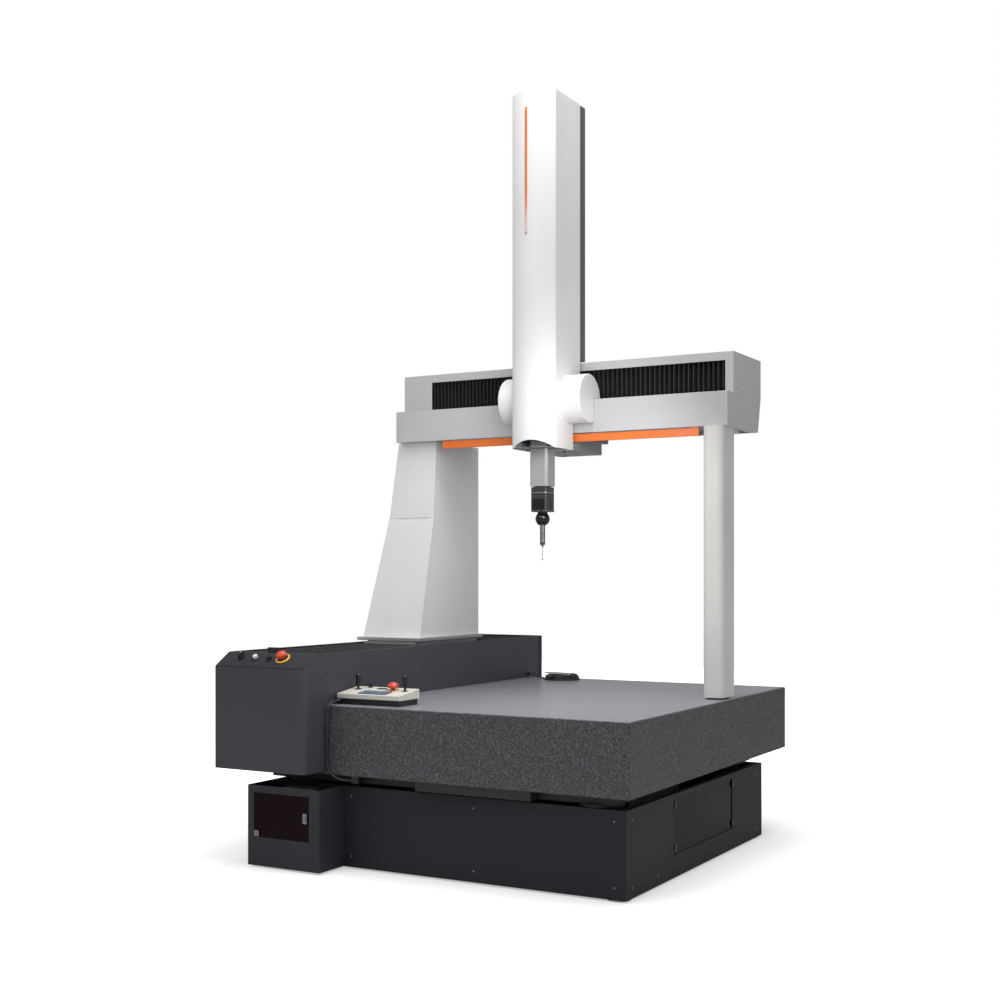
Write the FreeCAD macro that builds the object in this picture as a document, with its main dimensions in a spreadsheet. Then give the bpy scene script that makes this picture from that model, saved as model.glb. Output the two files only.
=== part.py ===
"""Bridge-type coordinate measuring machine, as an assembly of separate pieces.

Millimetres, +Z up, +X to the right, +Y to the back. The origin is on the floor under the middle of
the machine. The granite table stands on a steel stand. The bridge slides along Y on a guide bar in
the left housing, the carriage slides along X on the beam, and the ram slides along Z.
"""
import FreeCAD, Part
import math
import os
from types import SimpleNamespace

import Sketcher

V = FreeCAD.Vector
DOC = FreeCAD.newDocument("MeasuringMachine")
SHEET = DOC.addObject("Spreadsheet::Sheet", "Sizes")
PIECES = []

# Driving dimensions: alias, millimetres (degrees where it says so), meaning.
DRIVING = [
    ("half_width", 733.0, "middle to the table's right face and to the housing's left face"),
    ("half_length", 825.5, "middle to the control box's front and to the housing's back"),
    ("sheet", 3.0, "thickness of the painted sheet covers"),
    ("air_gap", 0.05, "film of an air bearing, and clearance of a running fit"),
    ("play", 0.3, "clearance between pieces that move past each other"),
    ("over", 1.0, "how far a cutting tool reaches past the face it cuts"),
    ("rim_step", 2.0, "step and chamfer of a turned rim"),
    # stand
    ("stand_height", 273.5, "top of the stand's covers"),
    ("stand_right_inset", 29.3, "stand's right face, in from the table's right face"),
    ("stand_left_inset", 117.6, "stand's left face, in from the housing's left face"),
    ("stand_front_inset", 161.4, "stand's front face, back from the control box's front"),
    ("stand_back_inset", 270.9, "stand's back face, in from the housing's back"),
    ("floor_gap", 6.0, "floor to the covers' lower edges"),
    ("cover_flange", 22.0, "inward flange along the top of a stand cover"),
    ("box_depth", 134.2, "how far the service box stands out in front of the stand"),
    ("box_width", 295.8, "width of the service box"),
    ("post", 80.0, "width of the stand's square posts"),
    ("rail", 50.0, "width of the stand's square rails"),
    ("tube_wall", 4.0, "wall of the stand's square tubes"),
    ("frame_top", 205.0, "top of the stand's frame"),
    ("foot_height", 34.0, "floor to the frame's underside"),
    ("foot_radius", 36.0, "radius of a levelling foot's pad"),
    ("foot_pad", 12.0, "thickness of a levelling foot's pad"),
    ("foot_screw", 10.0, "radius of a levelling foot's screw"),
    # windows, air supply, controller
    ("window_front", 368.0, "side window's front edge, back from the stand's front face"),
    ("window_width", 537.0, "width of the side window"),
    ("window_low", 78.0, "lower edge of the side window"),
    ("window_tall", 179.0, "height of the side window"),
    ("box_window_inset", 25.4, "box window's left edge, in from the box's left face"),
    ("box_window_width", 227.0, "width of the box window"),
    ("box_window_low", 102.0, "lower edge of the box window"),
    ("box_window_tall", 147.0, "height of the box window"),
    ("window_lap", 8.0, "how far a window reaches behind its opening's edge"),
    ("window_glass", 4.0, "thickness of a tinted window"),
    ("bowl_radius", 24.0, "radius of an air filter's bowl"),
    ("bowl_height", 95.0, "height of an air filter's bowl"),
    ("bowl_pitch", 70.0, "spacing of the two air filters"),
    ("filter_inset", 60.0, "first air filter's axis, in from the box window's left edge"),
    ("filter_stand_off", 58.0, "air filters' axes, in front of the stand's front face"),
    ("filter_head", 40.0, "height of an air filter's head"),
    ("controller_width", 400.0, "width of the motion controller"),
    ("controller_depth", 420.0, "depth of the motion controller"),
    ("controller_height", 150.0, "height of the motion controller"),
    ("controller_inset", 60.0, "motion controller, in from the stand's right rail"),
    ("shelf_front", 340.0, "shelf's front edge, back from the stand's front face"),
    # air springs and carrier beams
    ("spring_radius", 45.0, "radius of an air spring"),
    ("spring_foot_radius", 58.0, "radius of an air spring's lower plate"),
    ("spring_top_radius", 70.0, "radius of an air spring's upper plate"),
    ("spring_plate", 8.0, "thickness of an air spring's plates"),
    ("spring_inset_x", 113.7, "air spring's axis, in from the stand's side face"),
    ("spring_inset_y", 72.1, "air spring's axis, in from the stand's front or back face"),
    ("carrier_height", 30.2, "height of the beams that carry the table"),
    ("carrier_width", 110.0, "width of the beams that carry the table"),
    ("carrier_inset", 70.0, "carrier beam's ends, in from the table's sides"),
    ("lift_plate_inset", 332.0, "lifting plate's right end, in from the table's right face"),
    ("lift_plate_width", 418.0, "width of the lifting plate under the table's front"),
    ("lift_plate_setback", 3.0, "lifting plate's face, back from the table's front"),
    # table
    ("table_top", 542.0, "height of the table's top"),
    ("table_height", 228.8, "thickness of the granite"),
    ("table_left_inset", 33.0, "table's left face, in from the housing's left face"),
    ("table_back_inset", 83.0, "table's back face, in from the housing's back"),
    ("table_setback", 123.0, "table's front face, back from the control box's front"),
    ("table_edge", 3.0, "chamfer of the table's edges"),
    # left housing, its guide and its drive
    ("housing_width", 372.4, "width of the left housing"),
    ("housing_top", 711.3, "top of the left housing"),
    ("housing_low", 323.8, "lower edge of the left housing"),
    ("housing_flange", 8.0, "inward flange along the top of the housing's side covers"),
    ("housing_round", 25.0, "radius of the control box's front corner"),
    ("housing_seam", 35.5, "depth of the housing's rear cap above the table"),
    ("slope_rise", 43.6, "height of the control panel's slope"),
    ("slope_run", 70.1, "depth of the control panel's slope"),
    ("panel_ledge", 27.0, "depth of the level strip behind the slope"),
    ("guide_inset", 78.0, "guide bar's left face, in from the housing's left face"),
    ("guide_width", 130.0, "width of the Y guide bar"),
    ("guide_height", 98.0, "height of the Y guide bar over the table"),
    ("guide_end_gap", 2.5, "guide bar's ends, in from the table's front and back"),
    # control panel
    ("switch_inset", 81.0, "first switch, in from the housing's left face"),
    ("switch_pitch", 58.5, "spacing of the first three switches"),
    ("stop_inset", 253.0, "emergency stop, in from the housing's left face"),
    ("stem_radius", 8.0, "radius of a switch's stem"),
    ("bush_radius", 11.0, "outer radius of a switch's bush behind the panel"),
    ("bush_length", 15.0, "length of a switch's bush behind the panel's face"),
    ("bezel_radius", 15.0, "radius of a switch's bezel"),
    ("bezel_height", 3.0, "height of a switch's bezel"),
    ("stop_ring_radius", 25.0, "radius of the emergency stop's ring"),
    ("knob_radius", 13.0, "radius of the selector knob"),
    ("knob_height", 17.0, "height of the selector knob"),
    ("button_height", 8.0, "height of a push button over its bezel"),
    ("stop_radius", 18.0, "radius of the emergency stop's head"),
    ("stop_height", 22.0, "height of the emergency stop's head"),
    ("stop_travel", 5.0, "travel of the emergency stop"),
    # bellows
    ("pleat_depth", 20.0, "depth of the X bellows' pleats"),
    ("pleat_skin", 4.0, "thickness of a bellows' cloth, measured along the pleats' depth"),
    ("pleats_left", 35, "pleats in the left X bellows"),
    ("pleats_right", 35, "pleats in the right X bellows"),
    ("pleats_front", 46, "pleats in the front Y bellows"),
    ("pleats_rear", 24, "pleats in the rear Y bellows"),
    ("y_pleat_depth", 20.0, "depth of the Y bellows' pleats"),
    ("y_bellows_drop", 3.5, "top of the Y bellows, below the housing's top"),
    ("bellows_gap", 0.6, "clearance beside and behind the bellows"),
    # Y carriage and left leg
    ("saddle_width", 230.0, "width of the Y carriage"),
    ("saddle_inset", 28.0, "Y carriage's left face, in from the housing's left face"),
    ("saddle_front", 45.0, "Y carriage's front, behind the middle"),
    ("saddle_length", 415.0, "length of the Y carriage"),
    ("saddle_top", 702.0, "top of the Y carriage"),
    ("skirt_height", 95.0, "height of the Y carriage's skirts below its deck"),
    ("pad_thickness", 15.0, "thickness of an air bearing pad"),
    ("pad_length", 110.0, "length of an air bearing pad in a carriage"),
    ("base_plate", 9.3, "thickness of the plate on the Y carriage"),
    ("base_front", 0.0, "front of the plate on the Y carriage, behind the middle"),
    ("base_width", 237.0, "width of the plate on the Y carriage"),
    ("spacer", 6.7, "thickness of the spacer under the ledge"),
    ("spacer_inset", 12.0, "spacer, in from the plate on the Y carriage"),
    ("ledge", 12.7, "thickness of the ledge plate under the left leg"),
    ("ledge_width", 283.0, "width of the ledge plate"),
    ("ledge_front", -5.0, "front of the ledge plate, behind the middle"),
    ("leg_right", 264.0, "left leg's right face, in from the housing's left face"),
    ("leg_foot_width", 260.0, "width of the left leg's foot"),
    ("leg_fold_width", 204.0, "width of the left leg at its fold"),
    ("leg_head_width", 173.0, "width of the left leg's head"),
    ("leg_back", 475.2, "back of the left leg, behind the middle"),
    ("leg_foot_depth", 442.1, "depth of the left leg's foot"),
    ("leg_fold_depth", 343.3, "depth of the left leg at its fold"),
    ("leg_head_depth", 323.2, "depth of the left leg's head"),
    ("leg_fold_height", 1193.8, "height of the fold across the left leg"),
    ("leg_wall", 5.0, "wall of the left leg's cover"),
    ("scoop_width", 160.0, "width of the hollow under the left leg's fold"),
    ("scoop_drop", 32.0, "drop of the hollow under the left leg's fold"),
    ("scoop_depth", 2.5, "depth of the hollow under the left leg's fold"),
    ("column_width", 110.0, "width of the column inside the left leg"),
    ("column_depth", 200.0, "depth of the column inside the left leg"),
    ("column_wall", 12.0, "wall of the column inside the left leg"),
    ("column_gap", 10.0, "column's right face, in from the left leg's cover"),
    # right leg
    ("right_leg_inset", 12.8, "right leg's right face, in from the table's right face"),
    ("right_leg_width", 76.6, "width of the right leg"),
    ("right_leg_front", 101.8, "front of the right leg, behind the middle"),
    ("right_leg_depth", 111.1, "depth of the right leg"),
    ("right_leg_gap", 6.0, "table to the right leg's lower edge"),
    ("right_leg_wall", 6.0, "wall of the right leg"),
    ("right_leg_round", 22.0, "radius of the right leg's rounded edges"),
    ("right_leg_floor", 40.0, "height of the right leg's solid foot"),
    ("foot_disc_radius", 38.0, "radius of the right leg's air pad"),
    ("foot_ball", 12.0, "radius of the ball over the right leg's air pad"),
    ("bracket_width", 56.0, "width of the bracket on the right leg's top"),
    ("bracket_back", 320.0, "back of the bracket on the right leg's top, behind the middle"),
    # beam
    ("beam_bottom", 1486.5, "lower edge of the beam's covers"),
    ("beam_step", 1605.5, "height of the step in the beam's front"),
    ("beam_top", 1749.2, "top of the beam"),
    ("beam_left", 628.7, "left end of the beam, left of the middle"),
    ("beam_front", 112.6, "lower front face of the beam, behind the middle"),
    ("beam_upper_front", 171.9, "upper front face of the beam, behind the middle"),
    ("beam_back", 458.7, "back face of the beam, behind the middle"),
    ("slant_height", 123.5, "height over which the beam's back slants"),
    ("slant_depth", 28.8, "how far the beam's back slants in at the bottom"),
    ("beam_lip", 30.1, "height of the lip over the bellows"),
    ("beam_flange", 36.0, "lower flange of the beam's front cover"),
    ("shelf_depth", 80.0, "depth of the shelf at the step in the beam's front"),
    ("cap_width", 30.0, "width of the beam's end caps"),
    ("window_left_inset", 127.3, "bellows' left end, in from the beam's left end"),
    ("window_right_inset", 30.0, "bellows' right end, in from the beam's right end"),
    ("bar_front", 226.0, "front face of the guide beam, behind the middle"),
    ("bar_depth", 168.0, "depth of the guide beam"),
    ("bar_lift", 13.5, "underside of the guide beam, over the covers' lower edge"),
    ("bar_height", 200.0, "height of the guide beam"),
    ("bar_wall", 18.0, "wall of the guide beam"),
    ("strip_left", 418.0, "left end of the guard strip, left of the middle"),
    ("strip_right", 626.0, "right end of the guard strip, right of the middle"),
    ("strip_height", 28.0, "height of the guard strip"),
    ("strip_gap", 3.5, "shadow gap over the guard strip"),
    ("strip_thick", 11.0, "thickness of the guard strip"),
    ("strip_setback", 5.0, "guard strip's face, back from the beam's front"),
    ("strip_lug", 24.0, "width of the guard strip's brackets"),
    # carriage
    ("z_axis_x", 59.1, "ram's axis, right of the middle"),
    ("z_axis_y", 32.1, "ram's axis, behind the middle"),
    ("z_cover_width", 176.6, "width of the Z cover"),
    ("z_cover_front", -33.8, "Z cover's front corners, behind the middle"),
    ("z_cover_bow", 33.0, "bow of the Z cover's front"),
    ("z_seam", 85.4, "seam between the Z front and rear covers, behind the middle"),
    ("z_rear_step", 103.0, "back of the Z rear cover below the beam's step"),
    ("z_rear_back", 159.9, "back of the Z rear cover over the beam's step"),
    ("z_cover_low", 1424.0, "lower edge of the Z cover"),
    ("z_cover_top", 2695.0, "top of the Z cover"),
    ("z_wall", 4.0, "wall of the Z covers"),
    ("z_arch", 28.0, "height of the arch in the Z cover's lower edge"),
    ("z_clear", 4.0, "clearance between the carriage's covers and the beam's"),
    ("duct_depth", 45.0, "depth of the cable duct behind the Z covers"),
    ("duct_width", 120.0, "width of the cable duct behind the Z covers"),
    ("duct_gap", 8.0, "beam's top to the cable duct's lower end"),
    ("duct_top_gap", 20.0, "Z cover's top to the cable duct's upper end"),
    ("hub_radius", 90.0, "radius of the hub covers"),
    ("hub_width", 77.8, "width of the hub covers"),
    ("hub_rim", 7.0, "width and height of the hub covers' rim"),
    ("hub_y", 82.0, "hub covers' axis, behind the middle"),
    ("hub_wall", 4.0, "wall of the hub covers"),
    ("hub_edge", 5.0, "rounded edge of the hub covers"),
    ("ring_width", 158.0, "width of the carriage's ring round the beam"),
    ("ring_wall", 14.0, "wall of the carriage's ring"),
    ("neck_low", 1612.0, "lower side of the carriage's neck"),
    ("neck_high", 1712.0, "upper side of the carriage's neck"),
    ("under_box_front", 134.0, "front of the box under the beam, behind the middle"),
    ("under_box_depth", 212.0, "depth of the box under the beam"),
    ("under_box_low", 1422.5, "underside of the box under the beam"),
    ("link_height", 25.0, "height of the link from the Z covers to the box under the beam"),
    ("block_wall", 18.0, "wall of the ram's guide"),
    ("block_top", 1830.0, "upper end of the ram's guide"),
    ("base_recess", 30.0, "Z cover's lower edge to the plate inside it"),
    ("base_thick", 12.0, "thickness of the plate inside the Z cover's lower end"),
    ("motor_y", 60.0, "drive motors' axis, behind the middle"),
    ("motor_radius", 36.0, "radius of a drive motor"),
    ("motor_length", 74.0, "length of a drive motor"),
    ("rod_radius", 8.0, "radius of the counterbalance rod"),
    ("rod_low", 1905.0, "lower end of the counterbalance rod"),
    ("piston_height", 20.0, "height of the counterbalance piston"),
    # ram, probe head, probe
    ("ram_width", 70.6, "width of the ram"),
    ("ram_low", 1290.5, "lower end of the ram"),
    ("ram_length", 1110.0, "length of the ram"),
    ("ram_chamfer", 7.0, "chamfer of the ram's edges"),
    ("ram_bore", 23.0, "radius of the ram's bore"),
    ("ram_floor", 40.0, "solid lower end of the ram"),
    ("gland_height", 12.0, "thickness of the gland on the ram's top"),
    ("adapter_height", 20.0, "height of the adapter under the ram"),
    ("adapter_radius", 32.0, "radius of the adapter under the ram"),
    ("head_ring", 4.5, "height of the bright ring under the adapter"),
    ("head_collar", 15.0, "height of the probe head's collar"),
    ("head_height", 52.5, "height of the probe head's body"),
    ("head_width", 66.0, "width of the probe head's body"),
    ("head_round", 9.0, "radius of the probe head's upright edges"),
    ("ball_radius", 26.0, "radius of the probe head's ball"),
    ("ball_drop", 25.0, "probe head's underside to the ball's middle"),
    ("ball_neck", 18.0, "radius of the ball's neck"),
    ("slot_width", 25.0, "width of the slot in the ball"),
    ("drum_radius", 16.0, "radius of the tilting drum in the ball"),
    ("drum_width", 24.0, "width of the tilting drum in the ball"),
    ("tilt_pin", 3.0, "radius of the tilting drum's pin"),
    ("probe_radius", 9.5, "radius of the touch probe"),
    ("probe_length", 96.0, "ball's middle to the touch probe's lower end"),
    ("stylus_length", 51.0, "touch probe's lower end to the middle of the ruby ball"),
    ("stylus_shaft", 1.0, "radius of the stylus"),
    ("stylus_tip", 2.5, "radius of the ruby ball"),
    ("stylus_seat", 3.5, "radius of the stylus's seat"),
    ("stylus_seat_height", 8.0, "height of the stylus's seat"),
    # pendant
    ("pendant_inset", 378.0, "pendant's left face, in from the housing's left face"),
    ("pendant_width", 250.0, "width of the pendant"),
    ("pendant_setback", 170.5, "pendant's front face, back from the control box's front"),
    ("pendant_depth", 120.0, "depth of the pendant"),
    ("tray_height", 20.0, "height of the pendant's base"),
    ("tray_inset", 5.0, "pendant's base, in from its cover"),
    ("tray_wall", 3.0, "wall of the pendant's base and cover"),
    ("cover_front", 15.0, "height of the pendant's cover at the front"),
    ("cover_back", 31.0, "height of the pendant's cover at the back"),
    ("stick_inset", 31.0, "joysticks, in from the pendant's ends"),
    ("stick_setback", 80.0, "joysticks, back from the pendant's front"),
    ("stick_pivot", 26.5, "height of the joysticks' pivots over the table"),
    ("stick_shaft", 4.0, "radius of a joystick's shaft"),
    ("stick_dome", 15.5, "outer radius of the dome on a joystick"),
    ("dome_wall", 1.5, "wall of the dome on a joystick"),
    ("dome_reach", 46.0, "degrees from a joystick's shaft to its dome's edge"),
    ("stick_hole", 13.0, "radius of the hole round a joystick"),
    ("grip_radius", 8.5, "radius of a joystick's grip"),
    ("grip_low", 28.0, "pivot to the lower end of the grip"),
    ("grip_high", 72.0, "pivot to the upper end of the grip"),
    ("ring_outer", 10.6, "outer radius of a gimbal ring"),
    ("ring_inner", 7.0, "inner radius of a gimbal ring"),
    ("ring_height", 5.0, "height of a gimbal ring"),
    ("gimbal_pin", 1.5, "radius of the gimbals' pins"),
    ("lug_thick", 3.0, "thickness of the gimbals' lugs"),
    ("lug_width", 6.0, "width of the gimbals' lugs"),
    ("small_stop_inset", 81.0, "pendant's stop, in from the pendant's right end"),
    ("small_stop_setback", 85.0, "pendant's stop, back from the pendant's front"),
    ("small_stop_radius", 19.0, "radius of the pendant's stop"),
    ("small_stop_height", 21.0, "height of the pendant's stop"),
    ("small_stop_travel", 4.0, "travel of the pendant's stop"),
    ("speed_inset", 67.0, "speed knob, in from the pendant's left end"),
    ("speed_setback", 102.0, "speed knob, back from the pendant's front"),
    ("speed_radius", 8.0, "radius of the speed knob"),
    ("speed_height", 15.0, "height of the speed knob"),
    ("small_stem", 4.0, "radius of the stems in the pendant's cover"),
    ("small_bush", 6.0, "radius of the bushes under the pendant's cover"),
    # cords
    ("cable_radius", 3.0, "radius of the pendant's cable"),
    ("lead_radius", 2.5, "radius of the temperature sensor's lead"),
    ("coil_radius", 62.0, "middle radius of the lead's coil"),
    ("coil_band", 15.0, "half of the coil's width in plan"),
    ("coil_height", 24.0, "height of the coil"),
]


class Size:
    """A length that knows both its number and the spreadsheet expression that gives it."""

    def __init__(self, number, words):
        self.number = float(number)
        self.words = words

    def __add__(self, other):
        other = as_size(other)
        return Size(self.number + other.number, f"({self.words} + {other.words})")

    def __sub__(self, other):
        other = as_size(other)
        return Size(self.number - other.number, f"({self.words} - {other.words})")

    def __mul__(self, other):
        other = as_size(other)
        return Size(self.number * other.number, f"({self.words} * {other.words})")

    def __truediv__(self, other):
        other = as_size(other)
        return Size(self.number / other.number, f"({self.words} / {other.words})")

    def __neg__(self):
        return Size(-self.number, f"(0 - {self.words})")

    def __radd__(self, other):
        return as_size(other) + self

    def __rsub__(self, other):
        return as_size(other) - self

    def __rmul__(self, other):
        return as_size(other) * self


def as_size(value):
    """A plain number as a Size, and a Size as it is."""
    if isinstance(value, Size):
        return value
    return Size(value, f"({value})")


def root(size):
    """The square root of a Size."""
    size = as_size(size)
    return Size(math.sqrt(size.number), f"sqrt({size.words})")


def sine(size):
    """The sine of a Size in degrees."""
    return Size(math.sin(math.radians(size.number)), f"sin({size.words} * 1 deg)")


def cosine(size):
    """The cosine of a Size in degrees."""
    return Size(math.cos(math.radians(size.number)), f"cos({size.words} * 1 deg)")


def fill_sheet():
    """Write the driving dimensions to the spreadsheet and return them as Sizes by name."""
    sizes = SimpleNamespace()
    for row, (alias, value, meaning) in enumerate(DRIVING, start=1):
        SHEET.set(f"A{row}", meaning)
        SHEET.set(f"B{row}", str(value))
        SHEET.setAlias(f"B{row}", alias)
        setattr(sizes, alias, Size(value, f"Sizes.{alias}"))
    DOC.recompute()
    return sizes


S = fill_sheet()


# ---------------------------------------------------------------- ways of making a piece
def bind(obj, sizes):
    """Tie each named property of an object to its Size."""
    for name, size in sizes.items():
        obj.setExpression(name, as_size(size).words)


def place(obj, x, y, z):
    """Tie an object's place to three Sizes."""
    bind(obj, {"Placement.Base.x": x, "Placement.Base.y": y, "Placement.Base.z": z})


def piece(label, obj):
    """Give a finished object its node's name and keep it for export."""
    obj.Label = label
    PIECES.append(obj)
    return obj


def block(x, y, z):
    """A box between a low and a high Size along each of X, Y and Z."""
    box = DOC.addObject("Part::Box", "Block")
    bind(box, {"Length": x[1] - x[0], "Width": y[1] - y[0], "Height": z[1] - z[0]})
    place(box, x[0], y[0], z[0])
    return box


def rod(radius, start, length, along="Z"):
    """A cylinder from the middle of its first end, along X, Y or Z."""
    turns = {"X": FreeCAD.Rotation(V(0, 1, 0), 90), "Y": FreeCAD.Rotation(V(1, 0, 0), -90)}
    cylinder = DOC.addObject("Part::Cylinder", "Rod")
    cylinder.Placement = FreeCAD.Placement(V(), turns.get(along, FreeCAD.Rotation()))
    bind(cylinder, {"Radius": radius, "Height": length})
    place(cylinder, *start)
    return cylinder


def fuse(*parts):
    """The parts joined into one solid."""
    joined = DOC.addObject("Part::MultiFuse", "Fuse")
    joined.Shapes = list(parts)
    joined.Refine = True
    return joined


def cut(base, *tools):
    """The base with each tool taken away."""
    for tool in tools:
        left = DOC.addObject("Part::Cut", "Cut")
        left.Base = base
        left.Tool = tool
        base = left
    return base


def common(*parts):
    """What the parts have in common."""
    shared = DOC.addObject("Part::MultiCommon", "Common")
    shared.Shapes = list(parts)
    return shared


def group(*parts):
    """Separate solids kept together in one node."""
    together = DOC.addObject("Part::Compound", "Group")
    together.Links = list(parts)
    return together


def end_at(sketch, edge, point):
    """Which end of a sketch edge lies at a point: 1 for its start, 2 for its end."""
    if sketch.getPoint(edge, 1).distanceToPoint(point) < 1e-6:
        return 1
    return 2


def fix(sketch, edge, end, across, up):
    """Tie one point of a sketch to two Sizes, measured from the sketch's origin."""
    for kind, size in (("DistanceX", across), ("DistanceY", up)):
        number = sketch.addConstraint(Sketcher.Constraint(kind, -1, 1, edge, end, size.number))
        sketch.setExpression(f"Constraints[{number}]", size.words)


def draw(sketch, outline):
    """Draw a closed outline of (across, up) corners and fix every corner.

    An entry ("arc", across, up) is the middle of the arc that joins its neighbours.
    """
    corners = []
    middles = {}
    for entry in outline:
        if entry[0] == "arc":
            middles[len(corners) - 1] = [as_size(size) for size in entry[1:]]
        else:
            corners.append([as_size(size) for size in entry])
    points = [V(across.number, up.number, 0) for across, up in corners]
    count = len(corners)
    first = sketch.GeometryCount
    for index in range(count):
        start, stop = points[index], points[(index + 1) % count]
        if index in middles:
            across, up = middles[index]
            sketch.addGeometry(Part.Arc(start, V(across.number, up.number, 0), stop))
        else:
            sketch.addGeometry(Part.LineSegment(start, stop))
    for index in range(count):
        here, before = first + index, first + (index - 1) % count
        near, far = end_at(sketch, here, points[index]), end_at(sketch, before, points[index])
        sketch.addConstraint(Sketcher.Constraint("Coincident", before, far, here, near))
        fix(sketch, here, near, *corners[index])
    for index, (across, up) in middles.items():
        helper = sketch.addGeometry(Part.Point(V(across.number, up.number, 0)), True)
        sketch.addConstraint(Sketcher.Constraint("PointOnObject", helper, 1, first + index))
        fix(sketch, helper, 1, across, up)


def add_sketch(body, side, level, outlines):
    """A sketch on one of the body's own origin planes, moved to a level along its normal."""
    planes = {feature.Role: feature for feature in body.Origin.OriginFeatures}
    sketch = body.newObject("Sketcher::SketchObject", "Outline")
    sketch.AttachmentSupport = [(planes[side + "_Plane"], "")]
    sketch.MapMode = "FlatFace"
    normal_sign = -1 if side == "XZ" else 1
    bind(sketch, {"AttachmentOffset.Base.z": normal_sign * as_size(level)})
    for outline in outlines:
        draw(sketch, outline)
    return sketch


def prism(side, low, high, *outlines):
    """A padded body: outlines in the XY, XZ or YZ plane, from a low to a high level."""
    body = DOC.addObject("PartDesign::Body", "Body")
    start = high if side == "XZ" else low
    pad = body.newObject("PartDesign::Pad", "Pad")
    pad.Profile = add_sketch(body, side, start, outlines)
    bind(pad, {"Length": as_size(high) - low})
    return body


def turned(outline):
    """A turned body about Z: the outline is (radius, height) from the axis outwards."""
    body = DOC.addObject("PartDesign::Body", "Body")
    revolution = body.newObject("PartDesign::Revolution", "Revolution")
    sketch = add_sketch(body, "XZ", 0, [outline])
    revolution.Profile = sketch
    revolution.ReferenceAxis = (sketch, ["V_Axis"])
    revolution.Angle = 360
    return body


def tilt(obj, angle, x, y, z):
    """Lean an object back about X by an angle expression, and put it in its place."""
    obj.Placement = FreeCAD.Placement(V(), FreeCAD.Rotation(V(1, 0, 0), 10))
    obj.setExpression("Placement.Rotation.Angle", angle)
    place(obj, x, y, z)
    return obj


def rectangle(x, y):
    """The four corners between two Sizes along each of two directions."""
    return [(x[0], y[0]), (x[1], y[0]), (x[1], y[1]), (x[0], y[1])]


def round_cap(radius, base, rise):
    """The outline of a round cap on the axis, from its edge at a base height to its top."""
    ball = (radius * radius + rise * rise) / (rise * 2)
    share = rise / (ball * 2)
    return [(radius, base), ("arc", ball * root(share), base + rise - ball + ball * root(1 - share)),
            (0, base + rise)]


def around(middle, half):
    """The two Sizes at a half width on each side of a middle."""
    return (middle - half, middle + half)


# ---------------------------------------------------------------- places worked out from the sizes
LEFT, RIGHT = -S.half_width, S.half_width
FRONT, BACK = -S.half_length, S.half_length

STAND_X = (LEFT + S.stand_left_inset, RIGHT - S.stand_right_inset)
STAND_Y = (FRONT + S.stand_front_inset, BACK - S.stand_back_inset)
STAND_Z = (S.floor_gap, S.stand_height)
BOX_X = (STAND_X[0], STAND_X[0] + S.box_width)
BOX_Y = (STAND_Y[0] - S.box_depth, STAND_Y[0])
POSTS_X = (STAND_X[0] + S.sheet, STAND_X[1] - S.sheet)
POSTS_Y = (STAND_Y[0] + S.sheet, STAND_Y[1] - S.sheet)
SPRINGS_X = (STAND_X[0] + S.spring_inset_x, STAND_X[1] - S.spring_inset_x)
SPRINGS_Y = (STAND_Y[0] + S.spring_inset_y, STAND_Y[1] - S.spring_inset_y)

TABLE_X = (LEFT + S.table_left_inset, RIGHT)
TABLE_Y = (FRONT + S.table_setback, BACK - S.table_back_inset)
TABLE_Z = (S.table_top - S.table_height, S.table_top)

HOUSING_X = (LEFT, LEFT + S.housing_width)
INSIDE_X = (HOUSING_X[0] + S.sheet, HOUSING_X[1] - S.sheet)
SLOPE = root(S.slope_run * S.slope_run + S.slope_rise * S.slope_rise)
SLOPE_ANGLE = f"atan({S.slope_rise.words} / {S.slope_run.words})"
SLOPE_LOW = S.housing_top - S.slope_rise
SLOPE_BACK = FRONT + S.slope_run
SEAM_Y = BACK - S.housing_seam
ON_TABLE = S.table_top + S.play
GUIDE_X = (LEFT + S.guide_inset, LEFT + S.guide_inset + S.guide_width)
GUIDE_Z = (S.table_top, S.table_top + S.guide_height)

SADDLE_X = (LEFT + S.saddle_inset, LEFT + S.saddle_inset + S.saddle_width)
SADDLE_Y = (S.saddle_front, S.saddle_front + S.saddle_length)
DECK_Z = GUIDE_Z[1] + S.air_gap + S.pad_thickness
LEDGE_Z = S.saddle_top + S.base_plate + S.spacer
LEG_LOW = LEDGE_Z + S.ledge
LEG_RIGHT = LEFT + S.leg_right
COLUMN_X = (LEG_RIGHT - S.leg_wall - S.column_gap - S.column_width,
            LEG_RIGHT - S.leg_wall - S.column_gap)
COLUMN_Y = around(S.bar_front + S.bar_depth / 2, S.column_depth / 2)

RIGHT_LEG_X = (RIGHT - S.right_leg_inset - S.right_leg_width, RIGHT - S.right_leg_inset)
RIGHT_LEG_Y = (S.right_leg_front, S.right_leg_front + S.right_leg_depth)
DISC_X = (RIGHT_LEG_X[0] + RIGHT_LEG_X[1]) / 2
DISC_Y = (RIGHT_LEG_Y[0] + RIGHT_LEG_Y[1]) / 2

BEAM_X = (-S.beam_left, RIGHT)
COVER_X = (BEAM_X[0] + S.cap_width, BEAM_X[1] - S.cap_width)
WINDOW_X = (BEAM_X[0] + S.window_left_inset, BEAM_X[1] - S.window_right_inset)
LIP_Z = S.beam_top - S.beam_lip
BAR_X = (BEAM_X[0] + S.sheet, BEAM_X[1] - S.sheet)
BAR_Y = (S.bar_front, S.bar_front + S.bar_depth)
BAR_Z = (S.beam_bottom + S.bar_lift, S.beam_bottom + S.bar_lift + S.bar_height)
BEND_Z = S.beam_bottom + S.slant_height

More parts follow.
